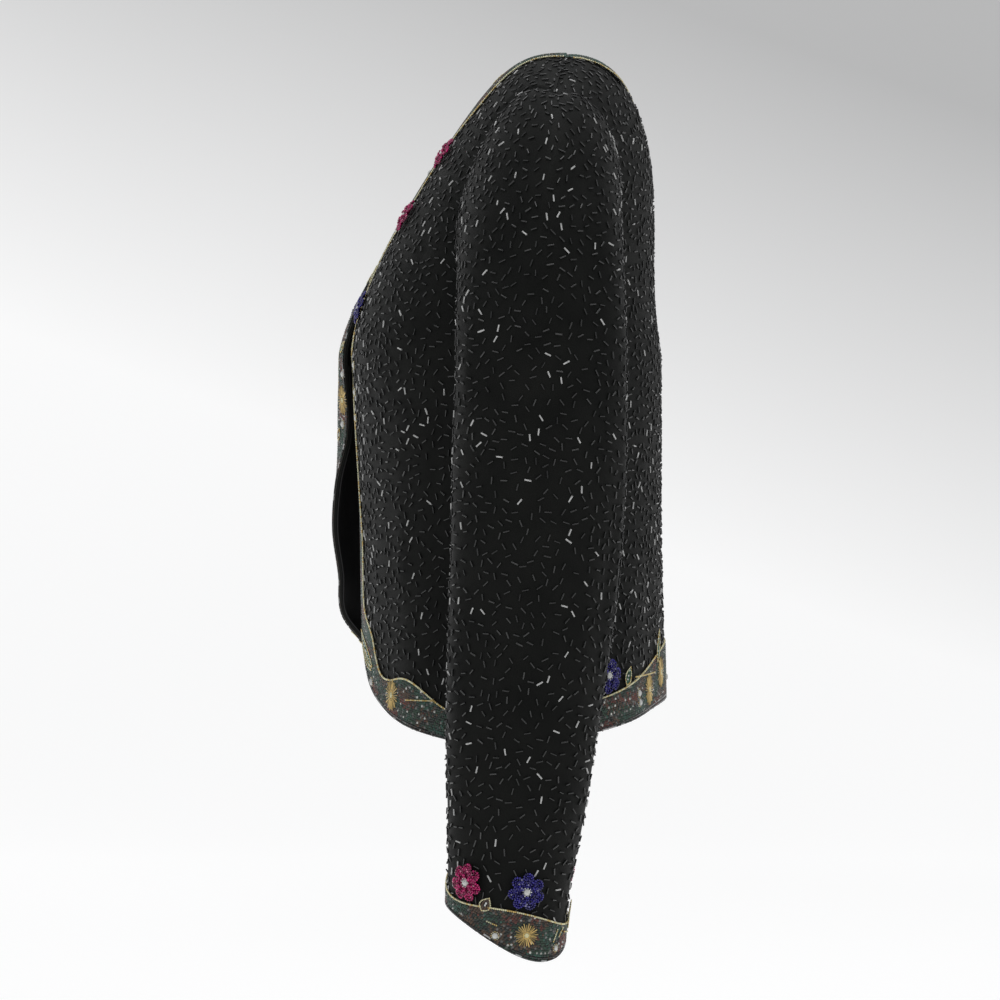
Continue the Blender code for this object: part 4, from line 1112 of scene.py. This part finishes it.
def scatter_bugles(name, grid, normals, closed, clear):
    """Bugle beads all over a panel, at random places and turns, a few pale as painted glints."""
    if closed:
        grid, normals = closed_up(grid, normals)
    a, b, c, d = grid[:-1, :-1], grid[1:, :-1], grid[1:, 1:], grid[:-1, 1:]
    areas = np.linalg.norm(np.cross(c - a, d - b), axis=-1) / 2
    area = areas.sum()
    want = int(area * BUGLES_PER_M2)
    tries = rng.choice(areas.size, want * 5, p=(areas / area).ravel())
    i, j = np.unravel_index(tries, areas.shape)
    i, j = i + rng.random(len(i)), j + rng.random(len(j))
    spots, away = between(grid, normals, i, j)
    taken_cells, kept = {}, []
    for k, spot in enumerate(spots):
        if len(kept) >= want:
            break
        if any(np.linalg.norm(spot - centre) < FLOWER_CLEAR for centre in clear):
            continue
        cell = tuple((spot // BUGLE_SPACE).astype(int))
        near = [other for x in (-1, 0, 1) for y in (-1, 0, 1) for z in (-1, 0, 1)
                for other in taken_cells.get((cell[0] + x, cell[1] + y, cell[2] + z), ())]
        if all(((spot - spots[other]) ** 2).sum() > BUGLE_SPACE ** 2 for other in near):
            taken_cells.setdefault(cell, []).append(k)
            kept.append(k)
    spots, away = spots[kept], away[kept]
    right = unit(np.cross(away, [0.0, 0.0, 1.0]))
    rise = np.cross(right, away)
    turn = rng.random(len(kept)) * math.pi
    along = right * np.cos(turn)[:, None] + rise * np.sin(turn)[:, None]
    # Painted glints: a few beads take a pale tint in place of highlights, more often those lying
    # steeply, as tall lamps would light them; the rest keep a dark tint.
    steep = np.abs(np.sin(turn)) > 0.72
    glint_draw = rng.random(len(kept))
    dark = 0.006 + 0.035 * rng.random(len(kept)) ** 3
    tint = np.where(glint_draw < np.where(steep, 0.13, 0.035), 0.55, dark)
    tilt = away + 0.10 * rng.normal(size=away.shape)
    beads = Gathered(name, BUGLE, BUGLE_GLASS, "bugle_beads")
    scale = 0.92 + 0.16 * rng.random((len(kept), 1))
    sizes = np.array([[BUGLE_LENGTH, BUGLE_RADIUS, BUGLE_RADIUS]]) * scale
    tints = tint[:, None] * np.array([[1.0, 1.0, 0.98]])
    beads.add(spots + away * BUGLE_RADIUS, tilt, along, sizes, tints)
    beads.join()


# Cloth of the panels
front = front_flat()
back = back_flat()
panels = {1: front_place(front, 1), -1: front_place(front, -1)}
rear = BACK.place(back[..., 0], back[..., 1])


def settle(grid, outside, depth, border):
    """Moves a sheet by its creases, which fade towards the seams."""
    columns, rows = grid.shape[:2]
    i, j = np.meshgrid(np.arange(columns), np.arange(rows), indexing="ij")
    fade = ramp(np.minimum(i, columns - 1 - i), 0, border) * ramp(rows - 1 - j, 0, border)
    seam = SEAM_SINK * np.exp(-((rows - 1 - j) / 1.4) ** 2)
    return grid + grid_normals(grid, outside) * (depth * fade - seam)[..., None]


for side in (1, -1):
    depth = crease_depth(front[..., 0], front[..., 1] + UNDERARM_Z, FRONT_CREASES)
    panels[side] = settle(panels[side], -side, depth, 6)
rear = settle(rear, -1.0, crease_depth(back[..., 0], back[..., 1] + UNDERARM_Z, BACK_CREASES), 6)

normals = {1: grid_normals(panels[1], -1.0), -1: grid_normals(panels[-1], 1.0)}
rear_normals = grid_normals(rear, -1.0)

every = EDGE_STEPS // ARM_STEPS
angle = math.pi * np.arange(2 * ARM_STEPS) / ARM_STEPS
arms, arm_normals = {}, {}
for side in (1, -1):
    mirror = np.array([side, 1.0, 1.0])
    loop = np.concatenate([(panels[side][::every, -1] * mirror)[::-1], rear[-1, -ARM_STEPS:-1]])
    body = np.concatenate([(normals[side][::every, -1] * mirror)[::-1],
                           rear_normals[-1, -ARM_STEPS:-1]])
    grid = sleeve_grid(loop, body, angle)
    tube = ring_normals(grid)
    turn = np.broadcast_to((angle + math.pi) % (2 * math.pi) - math.pi, grid.shape[:2])
    depth = crease_depth(turn * ARM_RADIUS, grid[..., 2], SLEEVE_CREASES, 2 * math.pi * ARM_RADIUS)
    rings = np.arange(len(grid))
    fade = ramp(rings, 2, 9) * ramp(len(grid) - 1 - rings, STRIP_ROWS, STRIP_ROWS + 6)
    seam = SEAM_SINK * np.exp(-(rings / 1.6) ** 2) * (rings > 0)
    grid = grid + tube * (depth * fade[:, None] - seam[:, None])[..., None]
    grid[0] += unit(grid[1] - grid[0]) * SEAM_GAP
    tube = ring_normals(grid)
    arms[side] = np.swapaxes(grid, 0, 1) * mirror
    arm_normals[side] = np.swapaxes(tube, 0, 1) * mirror

trees = {"front_left": tree_of(panels[1]), "front_right": tree_of(panels[-1]),
         "back": tree_of(rear),
         "sleeve_left": tree_of(arms[1], True), "sleeve_right": tree_of(arms[-1], True)}
ARM_TREES += [trees["sleeve_left"], trees["sleeve_right"]]


def cloth(name, node, grid, away, closed, flat, uv):
    """One panel of silk, with its wall, its cut and its area."""
    faces = quads(*grid.shape[:2], turned(grid, away), closed)
    piece = mesh_of(name, grid.reshape(-1, 3), faces, SILK, uv.reshape(-1, 2))
    area = sum(face.area for face in piece.data.polygons)
    thicken(piece, CLOTH)
    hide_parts(node)
    return piece, flat, area


def middle_of(node):
    """Middle of a solid's box."""
    low, high = (np.array(corner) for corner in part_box(node))
    return (low + high) / 2


flowers = [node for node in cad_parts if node.startswith("flower_")]
clear = [middle_of(node) for node in flowers]

for side, word in ((1, "left"), (-1, "right")):
    cloth("silk_front_" + word, "front_" + word, panels[side], normals[side], False,
                        FRONT_CUT, front)
    band = panels[side][:, :STRIP_ROWS + 1]
    beaded_band("band_front_" + word, "border_front_" + word, band, normals[side][:, :STRIP_ROWS + 1])
    scatter_bugles("bugles_front_" + word, panels[side][:, STRIP_ROWS:], normals[side][:, STRIP_ROWS:],
                   False, clear)
    arm, tube = arms[side], arm_normals[side]
    along = np.linspace(0, SLEEVE_CUT[1], arm.shape[1])
    uv = np.stack(np.meshgrid(angle * ARM_RADIUS, along, indexing="ij"), axis=-1)
    cloth("silk_sleeve_" + word, "sleeve_" + word, arm, tube, True, SLEEVE_CUT, uv)
    low = slice(None, -STRIP_ROWS - 2, -1)
    beaded_band("band_cuff_" + word, "border_cuff_" + word, arm[:, low], tube[:, low], True)
    scatter_bugles("bugles_sleeve_" + word, arm[:, :-STRIP_ROWS], tube[:, :-STRIP_ROWS], True, clear)
cloth("silk_back", "back", rear, rear_normals, False, BACK_CUT, back)
beaded_band("band_back_hem", "border_back_hem", rear[:, :STRIP_ROWS + 1],
            rear_normals[:, :STRIP_ROWS + 1])
first, last = SHOULDER_STEPS - COLLAR_REACH, BACK_COLUMNS - SHOULDER_STEPS + COLLAR_REACH
collar = slice(first, last + 1)
up = slice(None, -NECK_ROWS - 2, -1)
beaded_band("band_back_neck", "border_back_neck", rear[collar, up], rear_normals[collar, up])
scatter_bugles("bugles_back", rear[:, STRIP_ROWS:], rear_normals[:, STRIP_ROWS:], False, clear)

# Lining inside the right front
facing = normals[-1][LINING_PART]
inner = panels[-1][LINING_PART] - facing * (CLOTH + LINING_GAP)
lining = mesh_of("lining_front", inner.reshape(-1, 3), quads(*inner.shape[:2], turned(inner, facing)),
                 LINING_SATIN)
thicken(lining, LINING_WALL)
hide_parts("lining_front_right")

# Ornament on the side that the picture shows; what is on the left is repeated on the right
left, right, rump = trees["front_left"], trees["front_right"], trees["back"]
cuff = trees["sleeve_left"]
TWINS = ((left, right), (cuff, trees["sleeve_right"]), (rump, rump))


def ornament_pair(make, tree, pixels, *rest):
    """Makes an ornament and, where it is on the left, its mirror image on the right."""
    points = [seen(tree, px, py) for px, py in pixels]
    make(tree, *points, *rest)
    for twin in [b for a, b in TWINS if a is tree]:
        make(twin, *[mirrored(point) for point in points], *rest)


ORNAMENTS = (
    # maker, sheet, places in the picture, size and colour where they differ from the usual
    (sunburst, left, [(394, 695)]),
    (stone, left, [(374, 682)]),
    (leaf, left, [(375, 667), (362, 650)], 0.0085),
    (leaf, left, [(374, 670), (362, 672)], 0.0060),
    (stroke, left, [(408, 700), (434, 701)]),
    (stone, left, [(433, 168)]),
    (stone, left, [(399, 231)]),
    (leaf, left, [(372, 283), (376, 266)], 0.0060, BROWN),
    (leaf, left, [(355, 352), (357, 336)], 0.0060),
    (stone, left, [(356, 365)], 0.0042),
    (stone, left, [(357, 392)], 0.0042),
    (stone, left, [(358, 418)], 0.0042),
    (sunburst, right, [(345, 400)]),
    (stone, right, [(345, 374)]),
    (stone, right, [(345, 424)]),
    (leaf, right, [(343, 352), (343, 337)], 0.0060),
    (leaf, right, [(341, 440), (342, 428)], 0.0060, BROWN),
    (sunburst, rump, [(658, 672)]),
    (stone, rump, [(637, 693)]),
    (leaf, rump, [(624, 685), (628, 667)], 0.0075),
    (stroke, rump, [(633, 677), (652, 672)]),
    (sunburst, cuff, [(525.6, 935)], 0.72),
    (stone, cuff, [(495.5, 935.5)], 0.0042),
    (stone, cuff, [(553.5, 947.5)], 0.0040),
    (leaf, cuff, [(483, 910), (490, 898)], 0.0075, BROWN),
    (leaf, cuff, [(565, 922), (567, 911)], 0.0060, BROWN),
    (stroke, cuff, [(488, 921), (497, 925)]),
    (stroke, cuff, [(551, 941), (555, 929)]),
    (stroke, cuff, [(556, 936), (560, 927)]),
    (stroke, cuff, [(561, 931), (565, 925)]),
    (leaf, left, [(500, 80), (508, 72)], 0.0050),
)
for ornament in ORNAMENTS:
    ornament_pair(*ornament)

# Ornament on the hidden sides, at places along the bands
for share in (-0.42, 0.0, 0.42):
    column = int((share + 1) / 2 * BACK_COLUMNS)
    sunburst(rump, rear[column, STRIP_ROWS // 2])
    stone(rump, rear[column + 6, 3])
    leaf(rump, rear[column - 7, STRIP_ROWS - 1], rear[column - 9, STRIP_ROWS + 2], 0.0075)
for column in (52, 64, 76):
    stone(rump, rear[column, -3], 0.0045)
for side, word in ((1, "left"), (-1, "right")):
    tree = trees["sleeve_" + word]
    for station in (30, 52):
        sunburst(tree, arms[side][station, -4], 0.72)
        stone(tree, arms[side][station + 5, -4], 0.0042)
    for station in (40, 60):
        leaf(tree, arms[side][station, -6], arms[side][station + 1, -11], 0.007)

for node in flowers:
    panel = node.split("_")[1:3]
    if panel[0] == "back":
        tree = rump
    else:
        tree = trees[("sleeve_" if panel[0] == "cuff" else "front_") + panel[1]]
    looped_flower(node, tree, node.rsplit("_", 1)[1])

for group in (GOLDS, RAYS, LEAVES, STONES):
    group.join()

# Camera, stage and light
camera = linked("camera", bpy.data.cameras.new("camera"))
camera.location = EYE
camera.rotation_euler = (math.pi / 2, 0.0, math.pi / 2)
camera.data.sensor_width = 36.0
camera.data.lens = LENS
camera.data.clip_start = 0.05
camera.data.clip_end = 50.0
bpy.context.scene.camera = camera

FLOOR_Z = -0.86
FAR_X = -4.2
BEND = 1.6
profile = [(4.6, FLOOR_Z), (1.0, FLOOR_Z)]
profile += [(FAR_X + BEND - BEND * math.sin(t), FLOOR_Z + BEND - BEND * math.cos(t))
            for t in np.linspace(0.0, math.pi / 2, 24)]
profile.append((FAR_X, 4.0))
wall = bpy.data.meshes.new("sweep")
wall.from_pydata([(x, y, z) for x, z in profile for y in (-6.0, 6.0)], [],
                 [[2 * k, 2 * k + 1, 2 * k + 3, 2 * k + 2] for k in range(len(profile) - 1)])
wall.shade_smooth()
sweep = linked("sweep", wall)
sweep.data.materials.append(stage_finish())


def soft_light(name, place, aim, width, height, power):
    lamp = bpy.data.lights.new(name, "AREA")
    lamp.shape = "RECTANGLE"
    lamp.size, lamp.size_y, lamp.energy = width, height, power
    holder = linked(name, lamp)
    holder.location = place
    holder.rotation_euler = (Vector(aim) - Vector(place)).to_track_quat("-Z", "Y").to_euler()


soft_light("overhead", (0.3, 0.1, 1.9), (0.0, -0.05, -0.3), 1.8, 1.8, 22.0)
soft_light("left side", (1.7, -1.9, 0.2), (0.0, -0.05, -0.35), 0.5, 1.9, 2.0)
soft_light("right side", (1.6, 1.9, 0.3), (0.0, -0.05, -0.35), 0.5, 1.9, 2.0)
world = bpy.data.worlds.new("studio")
world.use_nodes = True
world.node_tree.nodes["Background"].inputs["Color"].default_value = (0.95, 0.97, 1.0, 1.0)
world.node_tree.nodes["Background"].inputs["Strength"].default_value = 0.40
bpy.context.scene.world = world
bpy.context.scene.view_settings.view_transform = "Standard"
